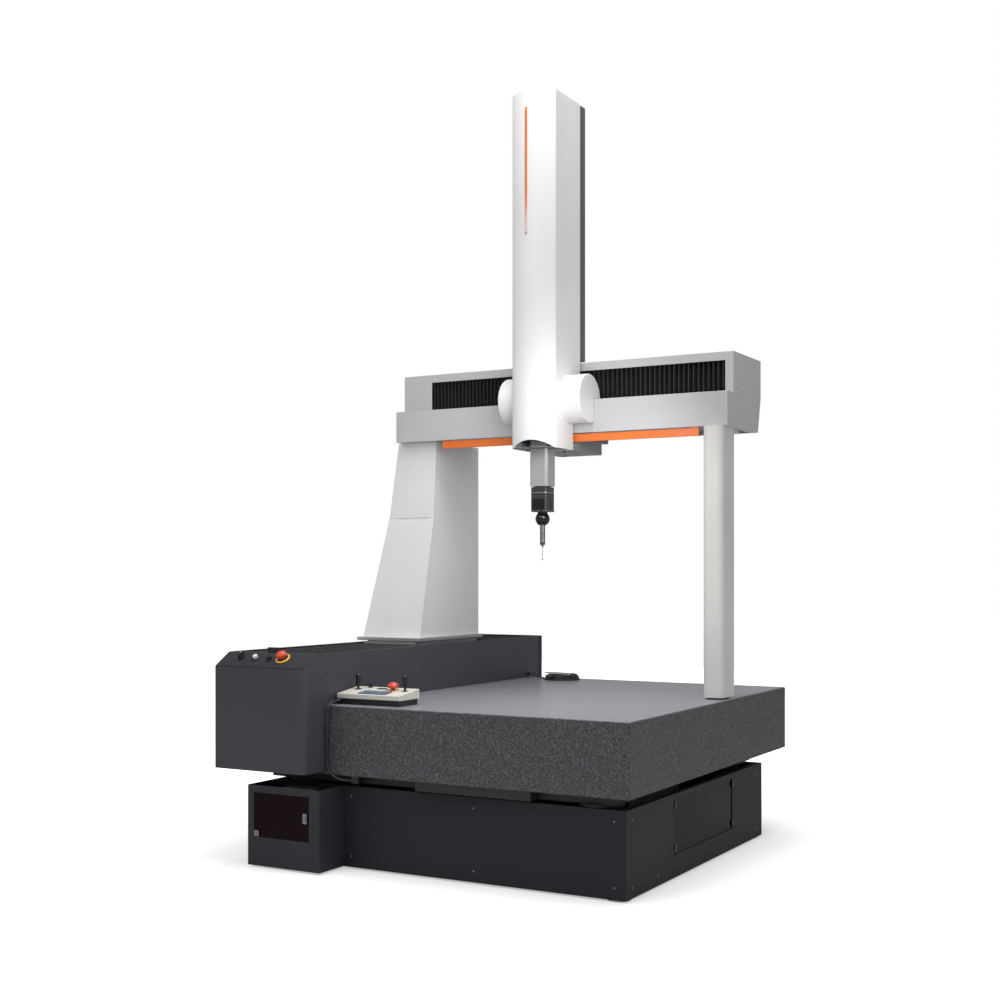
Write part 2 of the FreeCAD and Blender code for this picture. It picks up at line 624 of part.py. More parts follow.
AXIS_X, AXIS_Y = S.z_axis_x, S.z_axis_y
COVER_Z_X = around(AXIS_X, S.z_cover_width / 2)
RING_X = around(AXIS_X, S.ring_width / 2)
PAD = S.pad_thickness + S.air_gap
RING_IN_Y = (BAR_Y[0] - PAD, BAR_Y[1] + PAD)
RING_IN_Z = (BAR_Z[0] - PAD, BAR_Z[1] + PAD)
RING_Y = (RING_IN_Y[0] - S.ring_wall, RING_IN_Y[1] + S.ring_wall)
RING_Z = (RING_IN_Z[0] - S.ring_wall, RING_IN_Z[1] + S.ring_wall)
RAM_HALF = S.ram_width / 2
BLOCK_HALF = RAM_HALF + S.air_gap + S.block_wall
BLOCK_X = around(AXIS_X, BLOCK_HALF)
BLOCK_Y = around(AXIS_Y, BLOCK_HALF)
BASE_Z = S.z_cover_low + S.base_recess
RAM_TOP = S.ram_low + S.ram_length

HEAD_TOP = S.ram_low - S.adapter_height - S.head_ring
HEAD_LOW = HEAD_TOP - S.head_collar - S.head_height
BALL_Z = HEAD_LOW - S.ball_drop
PROBE_LOW = BALL_Z - S.probe_length

PENDANT_X = (LEFT + S.pendant_inset, LEFT + S.pendant_inset + S.pendant_width)
PENDANT_Y = (FRONT + S.pendant_setback, FRONT + S.pendant_setback + S.pendant_depth)
TRAY_TOP = S.table_top + S.tray_height
LID_ANGLE = f"atan(({S.cover_back.words} - {S.cover_front.words}) / {S.pendant_depth.words})"


def both(pair):
    """The low end and the high end of a span, each with the sign that points inwards."""
    return ((pair[0], 1), (pair[1], -1))


# ---------------------------------------------------------------- stand
def levelling_feet():
    """Four round feet, each a pad with its screw, under the stand's posts."""
    feet = []
    for x, inward_x in both(POSTS_X):
        for y, inward_y in both(POSTS_Y):
            foot = turned([(0, 0), (S.foot_radius, 0), (S.foot_radius, S.foot_pad * 0.6),
                           (S.foot_screw * 1.6, S.foot_pad), (S.foot_screw, S.foot_pad),
                           (S.foot_screw, S.foot_height), (0, S.foot_height)])
            place(foot, x + inward_x * S.post / 2, y + inward_y * S.post / 2, 0)
            feet.append(foot)
    return group(*feet)


def span(start, sign, length):
    """The low and high Size of a length that runs from a start towards a sign."""
    if sign > 0:
        return (start, start + length)
    return (start - length, start)


def tube(x, y, z, along):
    """A square tube that is open at both ends."""
    wall = S.tube_wall
    inner = [(side[0] + wall, side[1] - wall) for side in (x, y, z)]
    inner["XYZ".index(along)] = (x, y, z)["XYZ".index(along)]
    return cut(block(x, y, z), block(*inner))


def stand_frame():
    """Four posts with foot plates, two rings of rails between them, and a shelf."""
    parts = []
    posts_z = (S.foot_height + S.tube_wall * 2, S.frame_top)
    for x, inward_x in both(POSTS_X):
        for y, inward_y in both(POSTS_Y):
            post_x, post_y = span(x, inward_x, S.post), span(y, inward_y, S.post)
            parts.append(tube(post_x, post_y, posts_z, "Z"))
            parts.append(block(post_x, post_y, (S.foot_height, posts_z[0])))
    levels = ((posts_z[0], posts_z[0] + S.rail), (S.frame_top - S.rail, S.frame_top))
    between_x = (POSTS_X[0] + S.post, POSTS_X[1] - S.post)
    between_y = (POSTS_Y[0] + S.post, POSTS_Y[1] - S.post)
    for level in levels:
        for y, inward in both(between_y):
            parts.append(tube(between_x, span(y, -inward, S.rail), level, "X"))
        for x, inward in both(between_x):
            parts.append(tube(span(x, -inward, S.rail), between_y, level, "Y"))
    shelf_y = (STAND_Y[0] + S.shelf_front, STAND_Y[0] + S.shelf_front + S.controller_depth)
    shelf_x = (between_x[0] - S.rail, between_x[1] + S.rail)
    parts.append(block(shelf_x, shelf_y, (levels[0][1], levels[0][1] + S.sheet)))
    return group(*parts)


def stand_covers():
    """Four sheet covers, each with an inward flange along its top; the right one has an opening."""
    wall, flange = S.sheet, S.cover_flange
    covers = []
    for x, inward in both(STAND_X):
        side = fuse(block(span(x, inward, wall), STAND_Y, STAND_Z),
                    block(span(x, inward, flange), STAND_Y, (STAND_Z[1] - wall, STAND_Z[1])))
        covers.append(side)
    window_y = STAND_Y[0] + S.window_front
    opening = block((STAND_X[1] - wall * 2, STAND_X[1] + wall), (window_y, window_y + S.window_width),
                    (S.window_low, S.window_low + S.window_tall))
    covers[1] = cut(covers[1], opening)
    face_x = (STAND_X[0] + wall, STAND_X[1] - wall)
    flange_x = (STAND_X[0] + flange, STAND_X[1] - flange)
    for y, inward in both(STAND_Y):
        covers.append(fuse(block(face_x, span(y, inward, wall), (STAND_Z[0], STAND_Z[1] - wall)),
                           block(flange_x, span(y, inward, flange), (STAND_Z[1] - wall, STAND_Z[1]))))
    return group(*covers)


def service_box():
    """The open-topped box in front of the stand, with an opening for its window."""
    wall = S.sheet
    shell = block(BOX_X, BOX_Y, STAND_Z)
    inside = block((BOX_X[0] + wall, BOX_X[1] - wall), (BOX_Y[0] + wall, BOX_Y[1] + wall),
                   (STAND_Z[0] + wall, STAND_Z[1] + wall))
    left = BOX_X[0] + S.box_window_inset
    opening = block((left, left + S.box_window_width), (BOX_Y[0] - wall, BOX_Y[0] + wall * 2),
                    (S.box_window_low, S.box_window_low + S.box_window_tall))
    return cut(shell, inside, opening)


def tinted_windows():
    """The side window and the service box's window, each lapped behind its opening."""
    lap, glass = S.window_lap, S.window_glass
    side_x = (STAND_X[1] - S.sheet - glass, STAND_X[1] - S.sheet)
    side_y = STAND_Y[0] + S.window_front
    side = block(side_x, (side_y - lap, side_y + S.window_width + lap),
                 (S.window_low - lap, S.window_low + S.window_tall + lap))
    left = BOX_X[0] + S.box_window_inset
    box_y = (BOX_Y[0] + S.sheet, BOX_Y[0] + S.sheet + glass)
    box = block((left - lap, left + S.box_window_width + lap), box_y,
                (S.box_window_low - lap, S.box_window_low + S.box_window_tall + lap))
    return group(side, box)


def air_filters():
    """A filter and a regulator on the stand's front cover, each a head block with a bowl."""
    units = []
    head_low = S.box_window_low + S.bowl_height + S.foot_pad
    for index in range(2):
        x = BOX_X[0] + S.box_window_inset + S.filter_inset + index * S.bowl_pitch
        y = STAND_Y[0] - S.filter_stand_off
        bowl = turned([(0, 0), (S.bowl_radius * 0.5, 0), (S.bowl_radius, S.bowl_radius * 0.5),
                       (S.bowl_radius, S.bowl_height), (0, S.bowl_height)])
        place(bowl, x, y, head_low - S.bowl_height)
        head = block(around(x, S.bowl_radius + S.sheet), (y - S.bowl_radius, STAND_Y[0]),
                     (head_low, head_low + S.filter_head))
        units += [bowl, head]
    return group(*units)


def motion_controller():
    """The machine's electronics, a closed case on the stand's shelf."""
    right = POSTS_X[1] - S.post - S.controller_inset
    front = STAND_Y[0] + S.shelf_front
    low = S.foot_height + S.tube_wall * 2 + S.rail + S.sheet
    return block((right - S.controller_width, right), (front, front + S.controller_depth),
                 (low, low + S.controller_height))


def air_springs():
    """Four air springs between the stand's frame and the carrier beams."""
    low, high = S.frame_top, TABLE_Z[0] - S.carrier_height
    height, plate = high - low, S.spring_plate
    waist = S.spring_radius - S.spring_plate
    springs = []
    for x in SPRINGS_X:
        for y in SPRINGS_Y:
            spring = turned([(0, 0), (S.spring_foot_radius, 0), (S.spring_foot_radius, plate),
                             (waist, plate), ("arc", S.spring_radius, (height + plate) / 2 - plate / 2),
                             (waist, height - plate), (S.spring_top_radius, height - plate),
                             (S.spring_top_radius, height), (0, height)])
            place(spring, x, y, low)
            springs.append(spring)
    return group(*springs)


def carrier_beams():
    """Two beams that carry the table on the air springs, and the lifting plate at the front."""
    beam_x = (TABLE_X[0] + S.carrier_inset, TABLE_X[1] - S.carrier_inset)
    beam_z = (TABLE_Z[0] - S.carrier_height, TABLE_Z[0])
    parts = [block(beam_x, around(y, S.carrier_width / 2), beam_z) for y in SPRINGS_Y]
    plate_right = TABLE_X[1] - S.lift_plate_inset
    plate_y = (TABLE_Y[0] + S.lift_plate_setback, SPRINGS_Y[0] - S.carrier_width / 2)
    parts.append(block((plate_right - S.lift_plate_width, plate_right), plate_y, beam_z))
    return group(*parts)


# ---------------------------------------------------------------- table and left housing
def granite_table():
    """The granite, with chamfered upper edges."""
    body = prism("XY", TABLE_Z[0], TABLE_Z[1], rectangle(TABLE_X, TABLE_Y))
    DOC.recompute()
    edges = [f"Edge{number}" for number, edge in enumerate(body.Shape.Edges, start=1)
             if edge.BoundBox.ZMin > S.table_top.number - 1]
    pad = body.Tip
    chamfer = body.newObject("PartDesign::Chamfer", "Chamfer")
    chamfer.Base = (pad, edges)
    bind(chamfer, {"Size": S.table_edge})
    body.Tip = chamfer
    return body


def y_guide_bar():
    """The granite bar that guides the bridge, on the table inside the left housing."""
    bar_y = (TABLE_Y[0] + S.guide_end_gap, TABLE_Y[1] - S.guide_end_gap)
    return block(GUIDE_X, bar_y, GUIDE_Z)


def side_outline():
    """The housing's outline from the side, with the step over the table."""
    return [(FRONT, S.housing_low), (TABLE_Y[0] - S.play, S.housing_low),
            (TABLE_Y[0] - S.play, ON_TABLE), (SEAM_Y, ON_TABLE), (SEAM_Y, S.housing_top)]


def under_slope(height):
    """The two upper corners of a housing outline, a height of sheet below the panel's surface."""
    corner_back = SLOPE_BACK + height * (SLOPE - S.slope_run) / S.slope_rise
    corner_low = SLOPE_LOW - height * (SLOPE - S.slope_rise) / S.slope_run
    return [(corner_back, S.housing_top - height), (FRONT + height, corner_low)]


def housing_inner_cover():
    """One bent sheet: the control box's front, its rounded corner and the wall along the table."""
    x, wall, bend = HOUSING_X[1], S.sheet, S.housing_round
    inner_bend = bend - wall
    slack = 1 - math.sqrt(0.5)
    sheet = [(INSIDE_X[0], FRONT), (x - bend, FRONT), ("arc", x - bend * slack, FRONT + bend * slack),
             (x, FRONT + bend), (x, SEAM_Y), (x - wall, SEAM_Y), (x - wall, FRONT + bend),
             ("arc", x - wall - inner_bend * slack, FRONT + wall + inner_bend * slack),
             (x - bend, FRONT + wall), (INSIDE_X[0], FRONT + wall)]
    walls = prism("XY", S.housing_low, S.housing_top, sheet)
    back, low = under_slope(wall)
    region = side_outline()[:-1] + [(SEAM_Y, S.housing_top), (SLOPE_BACK + S.panel_ledge, S.housing_top),
                                    (SLOPE_BACK + S.panel_ledge, S.housing_top - wall), back, low,
                                    (FRONT, low[1] - wall * S.slope_rise / S.slope_run)]
    flange = block((x - S.housing_flange, x - wall / 2), (SLOPE_BACK + S.panel_ledge, SEAM_Y),
                   (S.housing_top - wall, S.housing_top))
    return fuse(common(walls, prism("YZ", INSIDE_X[0] - wall, x + wall, region)), flange)


def housing_outer_cover():
    """The sheet on the machine's left, flanged along its top and along the granite."""
    wall = S.sheet
    outline = side_outline() + [(SLOPE_BACK, S.housing_top), (FRONT, SLOPE_LOW)]
    face = prism("YZ", HOUSING_X[0], INSIDE_X[0], outline)
    top = block((HOUSING_X[0] + wall / 2, HOUSING_X[0] + S.housing_flange),
                (SLOPE_BACK + S.panel_ledge, SEAM_Y), (S.housing_top - wall, S.housing_top))
    skirt = prism("YZ", HOUSING_X[0], INSIDE_X[0],
                  rectangle((TABLE_Y[0] - wall, TABLE_Y[1] - wall), (S.housing_low, ON_TABLE + wall)))
    foot = block((HOUSING_X[0] + wall / 2, TABLE_X[0]), (TABLE_Y[0], TABLE_Y[1] - wall),
                 (S.housing_low, S.housing_low + wall))
    return fuse(face, top, skirt, foot)


def housing_rear_cap():
    """The cap that closes the housing's back, behind the table and above it."""
    wall = S.sheet
    behind = TABLE_Y[1] + S.play
    outline = [(behind, S.housing_low), (BACK, S.housing_low), (BACK, S.housing_top),
               (SEAM_Y, S.housing_top), (SEAM_Y, ON_TABLE), (behind, ON_TABLE)]
    inside = block(INSIDE_X, (TABLE_Y[1] - wall, BACK - wall),
                   (S.housing_low + wall, S.housing_top - wall))
    return cut(prism("YZ", HOUSING_X[0], HOUSING_X[1], outline), inside)


def on_slope(obj, x, depth=0):
    """Put an object that was made upright on the control panel, a depth below its surface."""
    middle_y, middle_z = FRONT + S.slope_run * 0.6, SLOPE_LOW + S.slope_rise * 0.6
    depth = as_size(depth)
    return tilt(obj, SLOPE_ANGLE, x, middle_y + depth * S.slope_rise / SLOPE,
                middle_z - depth * S.slope_run / SLOPE)


def switch_places():
    """The four switches' places along X: selector, start, reset, emergency stop."""
    first = LEFT + S.switch_inset
    return [first, first + S.switch_pitch, first + S.switch_pitch * 2, LEFT + S.stop_inset]


def control_panel():
    """The sloped panel with its four holes, and the level strip behind it."""
    wall = S.sheet
    back, low = under_slope(wall)
    strip = [(FRONT, SLOPE_LOW), (SLOPE_BACK, S.housing_top),
             (SLOPE_BACK + S.panel_ledge, S.housing_top),
             (SLOPE_BACK + S.panel_ledge, S.housing_top - wall), back, low,
             (FRONT, low[1] - wall * S.slope_rise / S.slope_run)]
    x, bend = HOUSING_X[1], S.housing_round
    slack = 1 - math.sqrt(0.5)
    plan = [(INSIDE_X[0], FRONT - wall), (INSIDE_X[0], SLOPE_BACK + S.panel_ledge + wall),
            (x, SLOPE_BACK + S.panel_ledge + wall), (x, FRONT + bend),
            ("arc", x - bend * slack, FRONT + bend * slack), (x - bend, FRONT), (x - bend, FRONT - wall)]
    panel = common(prism("YZ", INSIDE_X[0], x, strip),
                   prism("XY", S.housing_low, S.housing_top + wall, plan))
    holes = [on_slope(rod(S.bush_radius, (0, 0, 0), wall * 4), place_x, wall * 2)
             for place_x in switch_places()]
    return cut(panel, *holes)


def switch_bezels():
    """The four bezels on the panel, each with its bush through the panel."""
    bore = S.stem_radius + S.air_gap
    rings = []
    for x, radius in zip(switch_places(), [S.bezel_radius] * 3 + [S.stop_ring_radius]):
        ring = turned([(bore, -S.bush_length), (S.bush_radius, -S.bush_length), (S.bush_radius, 0),
                       (radius, 0), (radius, S.bezel_height * 0.6),
                       (radius - S.bezel_height * 0.4, S.bezel_height), (bore, S.bezel_height)])
        rings.append(on_slope(ring, x))
    return group(*rings)


def stem(top):
    """The stem's outline behind the panel up to a height over it, with its stop collar."""
    rear = -S.bush_length - S.air_gap
    collar = S.bush_radius - S.bezel_height * 0.5
    return [(0, rear - S.bezel_height), (collar, rear - S.bezel_height), (collar, rear),
            (S.stem_radius, rear), (S.stem_radius, top)]


def selector_knob():
    """The turning knob, with a grip bar across it."""
    low, high = S.bezel_height + S.play, S.bezel_height + S.knob_height
    waist = low + S.knob_height * 0.35
    body = turned(stem(low) + [(S.knob_radius, low), (S.knob_radius, waist),
                               (S.knob_radius * 0.9, waist + S.play), (0, waist + S.play)])
    grip = block(around(as_size(0), S.knob_radius * 0.3), around(as_size(0), S.knob_radius * 0.9),
                 (waist, high))
    return on_slope(fuse(body, grip), switch_places()[0])


def push_button(index):
    """A round push button that slides in its bezel."""
    top = S.bezel_height + S.button_height
    edge = S.stem_radius * 0.85
    return on_slope(turned(stem(top - S.stem_radius * 0.15) + [(edge, top), (0, top)]),
                    switch_places()[index])


def emergency_stop():
    """The mushroom head that slides in its ring."""
    low = S.bezel_height + S.stop_travel + S.play
    height = S.stop_height
    head = [(S.stem_radius * 1.3, low), (S.stop_radius, low + height * 0.25)]
    cap = round_cap(S.stop_radius, low + height * 0.55, height * 0.45)
    return on_slope(turned(stem(low) + head + cap), switch_places()[3])


# ---------------------------------------------------------------- bellows
def pleats(count, length, depth, side, level, height, start, rise):
    """A pleated cloth: one pleat padded and repeated along its run.

    The run is along the sketch's first axis, from start; rise is where the folds' feet lie.
    """
    pitch = length / count
    skin = S.pleat_skin
    fold = [(start, rise + skin), (start, rise), (start + pitch / 2, rise + depth - skin),
            (start + pitch, rise), (start + pitch, rise + skin), (start + pitch / 2, rise + depth)]
    body = prism(side, level, level + height, fold)
    pad = body.Tip
    pattern = body.newObject("PartDesign::LinearPattern", "Pleats")
    pattern.Originals = [pad]
    pattern.Direction = (pad.Profile[0], ["H_Axis"])
    bind(pattern, {"Length": length - pitch})
    pattern.setExpression("Occurrences", count.words)
    body.Tip = pattern
    return body


def x_bellows(count, ends):
    """Bellows behind the beam's window, from the beam's end to the carriage's neck."""
    low, high = S.beam_step + S.bellows_gap, LIP_Z + S.beam_lip / 2
    rise = S.beam_upper_front + S.sheet + S.bellows_gap
    return pleats(count, ends[1] - ends[0], S.pleat_depth, "XY", low, high - low, ends[0], rise)


def y_bellows(count, ends):
    """Bellows over the housing's trough, from the housing's end to the bridge's foot."""
    gap = S.housing_flange + S.bellows_gap
    rise = S.housing_top - S.y_bellows_drop - S.y_pleat_depth
    low, high = HOUSING_X[0] + gap, HOUSING_X[1] - gap
    return pleats(count, ends[1] - ends[0], S.y_pleat_depth, "YZ", low, high - low, ends[0], rise)


# ---------------------------------------------------------------- bridge
def y_carriage():
    """The deck on the guide bar, its skirts, and the air bearing pads between them and the bar."""
    skirt_z = (DECK_Z - S.skirt_height, DECK_Z + S.play)
    deck = block(SADDLE_X, SADDLE_Y, (DECK_Z, S.saddle_top))
    left_skirt = block((SADDLE_X[0], GUIDE_X[0] - PAD), SADDLE_Y, skirt_z)
    right_skirt = block((GUIDE_X[1] + PAD, SADDLE_X[1]), SADDLE_Y, skirt_z)
    pads = []
    for y, inward in both(SADDLE_Y):
        pad_y = span(y + inward * S.pad_thickness, inward, S.pad_length)
        pad_z = (skirt_z[0] + S.pad_thickness, GUIDE_Z[1] - S.pad_thickness)
        inset = S.pad_thickness * 0.8
        pads.append(block((GUIDE_X[0] + inset, GUIDE_X[1] - inset), pad_y,
                          (GUIDE_Z[1] + S.air_gap, DECK_Z + S.play)))
        pads.append(block((GUIDE_X[0] - PAD - S.play, GUIDE_X[0] - S.air_gap), pad_y, pad_z))
        pads.append(block((GUIDE_X[1] + S.air_gap, GUIDE_X[1] + PAD + S.play), pad_y, pad_z))
    return fuse(deck, left_skirt, right_skirt, *pads)


def leg_base():
    """The plate on the Y carriage, the spacer on it, and the ledge plate under the left leg."""
    low = S.saddle_top
    plate_x = (SADDLE_X[0], SADDLE_X[0] + S.base_width)
    plate_y = (S.base_front, SADDLE_Y[1])
    inset = S.spacer_inset
    ledge_y = (S.ledge_front, S.leg_back)
    return group(block(plate_x, plate_y, (low, low + S.base_plate)),
                 block((plate_x[0] + inset, plate_x[1] - inset),
                       (plate_y[0] + inset, plate_y[1] - inset), (low + S.base_plate, LEDGE_Z)),
                 block((LEFT, LEFT + S.ledge_width), ledge_y, (LEDGE_Z, LEG_LOW)))


def left_leg_column():
    """The square column that carries the beam's left end, with its foot plate."""
    wall = S.column_wall
    column = block(COLUMN_X, COLUMN_Y, (LEG_LOW, BAR_Z[0]))
    inside = block((COLUMN_X[0] + wall, COLUMN_X[1] - wall), (COLUMN_Y[0] + wall, COLUMN_Y[1] - wall),
                   (LEG_LOW - wall, BAR_Z[0] + wall))
    foot_x = (COLUMN_X[0] - wall * 2, COLUMN_X[1])
    foot = block(foot_x, (COLUMN_Y[0] - wall * 2, COLUMN_Y[1]), (LEG_LOW, LEG_LOW + wall))
    return fuse(cut(column, inside), cut(foot, inside))


def leg_form(inset, low, high):
    """The left leg's outer form, or its hollow when an inset is given: two prisms in common."""
    from_front = [(LEG_RIGHT - inset, low), (LEG_RIGHT - inset, high),
                  (LEG_RIGHT - S.leg_head_width + inset, high),
                  (LEG_RIGHT - S.leg_fold_width + inset, S.leg_fold_height),
                  (LEG_RIGHT - S.leg_foot_width + inset, low)]
    from_side = [(S.leg_back - inset, low), (S.leg_back - inset, high),
                 (S.leg_back - S.leg_head_depth + inset, high),
                 (S.leg_back - S.leg_fold_depth + inset, S.leg_fold_height),
                 (S.leg_back - S.leg_foot_depth + inset, low)]
    return common(prism("XZ", S.leg_back - S.leg_foot_depth, S.leg_back, from_front),
                  prism("YZ", LEG_RIGHT - S.leg_foot_width, LEG_RIGHT, from_side))


def left_leg_cover():
    """The tapered cover with its fold and the shallow hollow under the fold, open at both ends."""
    fold = S.leg_fold_height
    front_foot, front_fold = S.leg_back - S.leg_foot_depth, S.leg_back - S.leg_fold_depth
    middle = LEG_RIGHT - S.leg_fold_width / 2
    half = S.scoop_width / 2
    moon = prism("XZ", front_foot - S.over, front_fold + S.scoop_depth * 2,
                 [(middle - half, fold), ("arc", middle, fold - S.scoop_drop), (middle + half, fold)])
    skin = prism("YZ", middle - half, middle + half,
                 [(front_foot - S.over, LEG_LOW), (front_foot + S.scoop_depth, LEG_LOW),
                  (front_fold + S.scoop_depth, fold), (front_foot - S.over, fold)])
    return cut(leg_form(as_size(0), LEG_LOW, S.beam_bottom),
               leg_form(S.leg_wall, LEG_LOW - S.play, S.beam_bottom + S.play), common(moon, skin))


def right_leg():
    """The slim right leg: a hollow section with a solid foot, and the bracket under the beam."""
    x, y, bend, wall = RIGHT_LEG_X, RIGHT_LEG_Y, S.right_leg_round, S.right_leg_wall
    slack = 1 - math.sqrt(0.5)
    low = S.table_top + S.right_leg_gap
    outline = [(x[0] + bend, y[0]), (x[1] - bend, y[0]),
               ("arc", x[1] - bend * slack, y[0] + bend * slack), (x[1], y[0] + bend), (x[1], y[1]),
               (x[0], y[1]), (x[0], y[0] + bend), ("arc", x[0] + bend * slack, y[0] + bend * slack)]
    small = bend - wall
    hollow = [(x[0] + bend, y[0] + wall), (x[1] - bend, y[0] + wall),
              ("arc", x[1] - wall - small * slack, y[0] + wall + small * slack),
              (x[1] - wall, y[0] + bend), (x[1] - wall, y[1] - wall),
              (x[0] + wall, y[1] - wall), (x[0] + wall, y[0] + bend),
              ("arc", x[0] + wall + small * slack, y[0] + wall + small * slack)]
    tube_body = prism("XY", low, S.beam_bottom, outline)
    inside = prism("XY", low + S.right_leg_floor, S.beam_bottom - wall, hollow)
    seat = rod(S.foot_ball + S.air_gap, (DISC_X, DISC_Y, low - S.over), S.foot_ball + S.over)
    bracket_x = (x[0], x[0] + S.bracket_width)
    bracket = block(bracket_x, (S.beam_front + S.beam_flange + S.play, S.bracket_back),
                    (S.beam_bottom - S.play, BAR_Z[0]))
    heel = block(bracket_x, (y[1] - wall, S.bracket_back),
                 (S.beam_bottom - wall * 2, S.beam_bottom))
    return fuse(cut(tube_body, inside, seat), bracket, heel)


def right_air_pad():
    """The round air bearing pad under the right leg, with its ball stud."""
    low = S.table_top + S.air_gap
    seat = S.table_top + S.right_leg_gap + S.foot_ball - low
    pad = turned([(0, 0), (S.foot_disc_radius, 0), (S.foot_disc_radius, S.right_leg_gap * 0.6),
                  (S.foot_disc_radius - S.rim_step, S.right_leg_gap - S.play),
                  (S.foot_ball, S.right_leg_gap - S.play),
                  (S.foot_ball, seat - S.foot_ball * 0.3), (S.foot_ball * 0.7, seat), (0, seat)])
    place(pad, DISC_X, DISC_Y, low)
    return pad


def beam_bar():
    """The hollow guide beam inside the covers."""
    wall = S.bar_wall
    inside = block((BAR_X[0] - wall, BAR_X[1] + wall), (BAR_Y[0] + wall, BAR_Y[1] - wall),
                   (BAR_Z[0] + wall, BAR_Z[1] - wall))
    return cut(block(BAR_X, BAR_Y, BAR_Z), inside)


def beam_front_cover():
    """The lower front cover: a lower flange, the face and the shelf at the step."""
    wall = S.sheet
    front, low, high = S.beam_front, S.beam_bottom, S.beam_step
    outline = [(front, low), (front + S.beam_flange, low), (front + S.beam_flange, low + wall),
               (front + wall, low + wall), (front + wall, high - wall),
               (front + S.shelf_depth, high - wall), (front + S.shelf_depth, high), (front, high)]
    return prism("YZ", COVER_X[0], COVER_X[1], outline)


def beam_top_cover():
    """The upper cover: the lip over the bellows, the top, the back and the blank left panel."""
    wall = S.sheet
    front, back, top, low = S.beam_upper_front, S.beam_back, S.beam_top, S.beam_bottom
    slanted = back - S.slant_depth
    outline = [(front, LIP_Z), (front + wall, LIP_Z), (front + wall, top - wall),
               (back - wall, top - wall), (back - wall, BEND_Z), (slanted - wall, low),
               (slanted, low), (back, BEND_Z), (back, top), (front, top)]
    panel = block((COVER_X[0], WINDOW_X[0]), (front, front + wall), (S.beam_step, LIP_Z + wall))
    return fuse(prism("YZ", COVER_X[0], COVER_X[1], outline), panel)


def beam_end_caps():
    """The two caps that close the beam's ends, each open towards the beam."""
    wall = S.sheet
    front, upper, back, top = S.beam_front, S.beam_upper_front, S.beam_back, S.beam_top
    low, step, slanted = S.beam_bottom, S.beam_step, S.beam_back - S.slant_depth
    outer = [(front, low), (slanted, low), (back, BEND_Z), (back, top), (upper, top),
             (upper, step), (front, step)]
    inner = [(front + wall, low + wall), (slanted - wall, low + wall), (back - wall, BEND_Z),
             (back - wall, top - wall), (upper + wall, top - wall), (upper + wall, step - wall),
             (front + wall, step - wall)]
    caps = []
    for x, inward in both(BEAM_X):
        outside, hollow = span(x, inward, S.cap_width), span(x + inward * wall, inward, S.cap_width)
        caps.append(cut(prism("YZ", outside[0], outside[1], outer),
                        prism("YZ", hollow[0], hollow[1], inner)))
    return group(*caps)


def guard_strip():
    """The bright strip under the beam's front edge, hung on three brackets."""
    front = S.beam_front + S.strip_setback
    strip_y = (front, front + S.strip_thick)
    top = S.beam_bottom - S.strip_gap
    left, right = -S.strip_left, S.strip_right
    bar = block((left, right), strip_y, (top - S.strip_height, top))
    half = S.strip_lug / 2
    lugs = [block(around(x, half), strip_y, (top - half, S.beam_bottom))
            for x in (left + half, (left + right) / 2, right - half)]
    return fuse(bar, *lugs)


# ---------------------------------------------------------------- carriage
def x_carriage():
    """The ring round the guide beam with its air bearing pads, and the neck to the ram's guide."""
    ring = prism("YZ", RING_X[0], RING_X[1], rectangle(RING_Y, RING_Z), rectangle(RING_IN_Y, RING_IN_Z))
    inset = S.pad_thickness
    flat_y = (BAR_Y[0] + inset, BAR_Y[1] - inset)
    flat_z = (BAR_Z[0] + inset, BAR_Z[1] - inset)
    film, seat = S.air_gap, PAD + S.play
    pads = []
    for x, inward in both(RING_X):
        pad_x = span(x + inward * inset / 2, inward, S.pad_length / 2)
        pads.append(block(pad_x, flat_y, (BAR_Z[1] + film, BAR_Z[1] + seat)))
        pads.append(block(pad_x, flat_y, (BAR_Z[0] - seat, BAR_Z[0] - film)))
        pads.append(block(pad_x, (BAR_Y[0] - seat, BAR_Y[0] - film), flat_z))
        pads.append(block(pad_x, (BAR_Y[1] + film, BAR_Y[1] + seat), flat_z))
    neck = block(BLOCK_X, (BLOCK_Y[1], RING_Y[0] + S.play), (S.neck_low, S.neck_high))
    return fuse(ring, neck, *pads)


def under_box():
    """The box under the beam, bolted to the ring, with the link that passes under the guard strip."""
    low, high = S.under_box_low, RING_Z[0]
    front, back = S.under_box_front, S.under_box_front + S.under_box_depth
    link = S.z_cover_low + S.link_height
    outline = [(S.z_rear_step, S.z_cover_low), (front, S.z_cover_low), (front, low), (back, low),
               (back, high), (front, high), (front, link), (S.z_rear_step, link)]
    return prism("YZ", COVER_Z_X[0], COVER_Z_X[1], outline)


def z_plan(inset, back):
    """The Z front cover in plan, moved inwards by an inset: a bowed front, straight sides and a back."""
    x = (COVER_Z_X[0] + inset, COVER_Z_X[1] - inset)
    front = S.z_cover_front
    return [(x[0], back), (x[0], front), ("arc", AXIS_X, front - S.z_cover_bow + inset),
            (x[1], front), (x[1], back)]


def hub_bore():
    """The round hole in the Z covers' sides for the drive motors."""
    return rod(S.motor_radius + S.play, (COVER_Z_X[0] - S.over, S.motor_y, S.beam_step),
               COVER_Z_X[1] - COVER_Z_X[0] + S.over * 2, "X")


def z_front_cover():
    """The tall cover with the bowed front and the arched lower edge, closed at its top."""
    low, high = S.z_cover_low, S.z_cover_top
    wall = S.z_wall
    outer = prism("XY", low, high, z_plan(as_size(0), S.z_seam))
    inside = prism("XY", low - wall, high - wall, z_plan(wall, S.z_seam))
    arch = prism("XZ", S.z_cover_front - S.z_cover_bow - wall, S.z_cover_front + wall,
                 [(COVER_Z_X[0] + wall, low - wall), (COVER_Z_X[0] + wall, low),
                  ("arc", AXIS_X, low + S.z_arch), (COVER_Z_X[1] - wall, low),
                  (COVER_Z_X[1] - wall, low - wall)])
    return cut(outer, inside, arch, hub_bore())


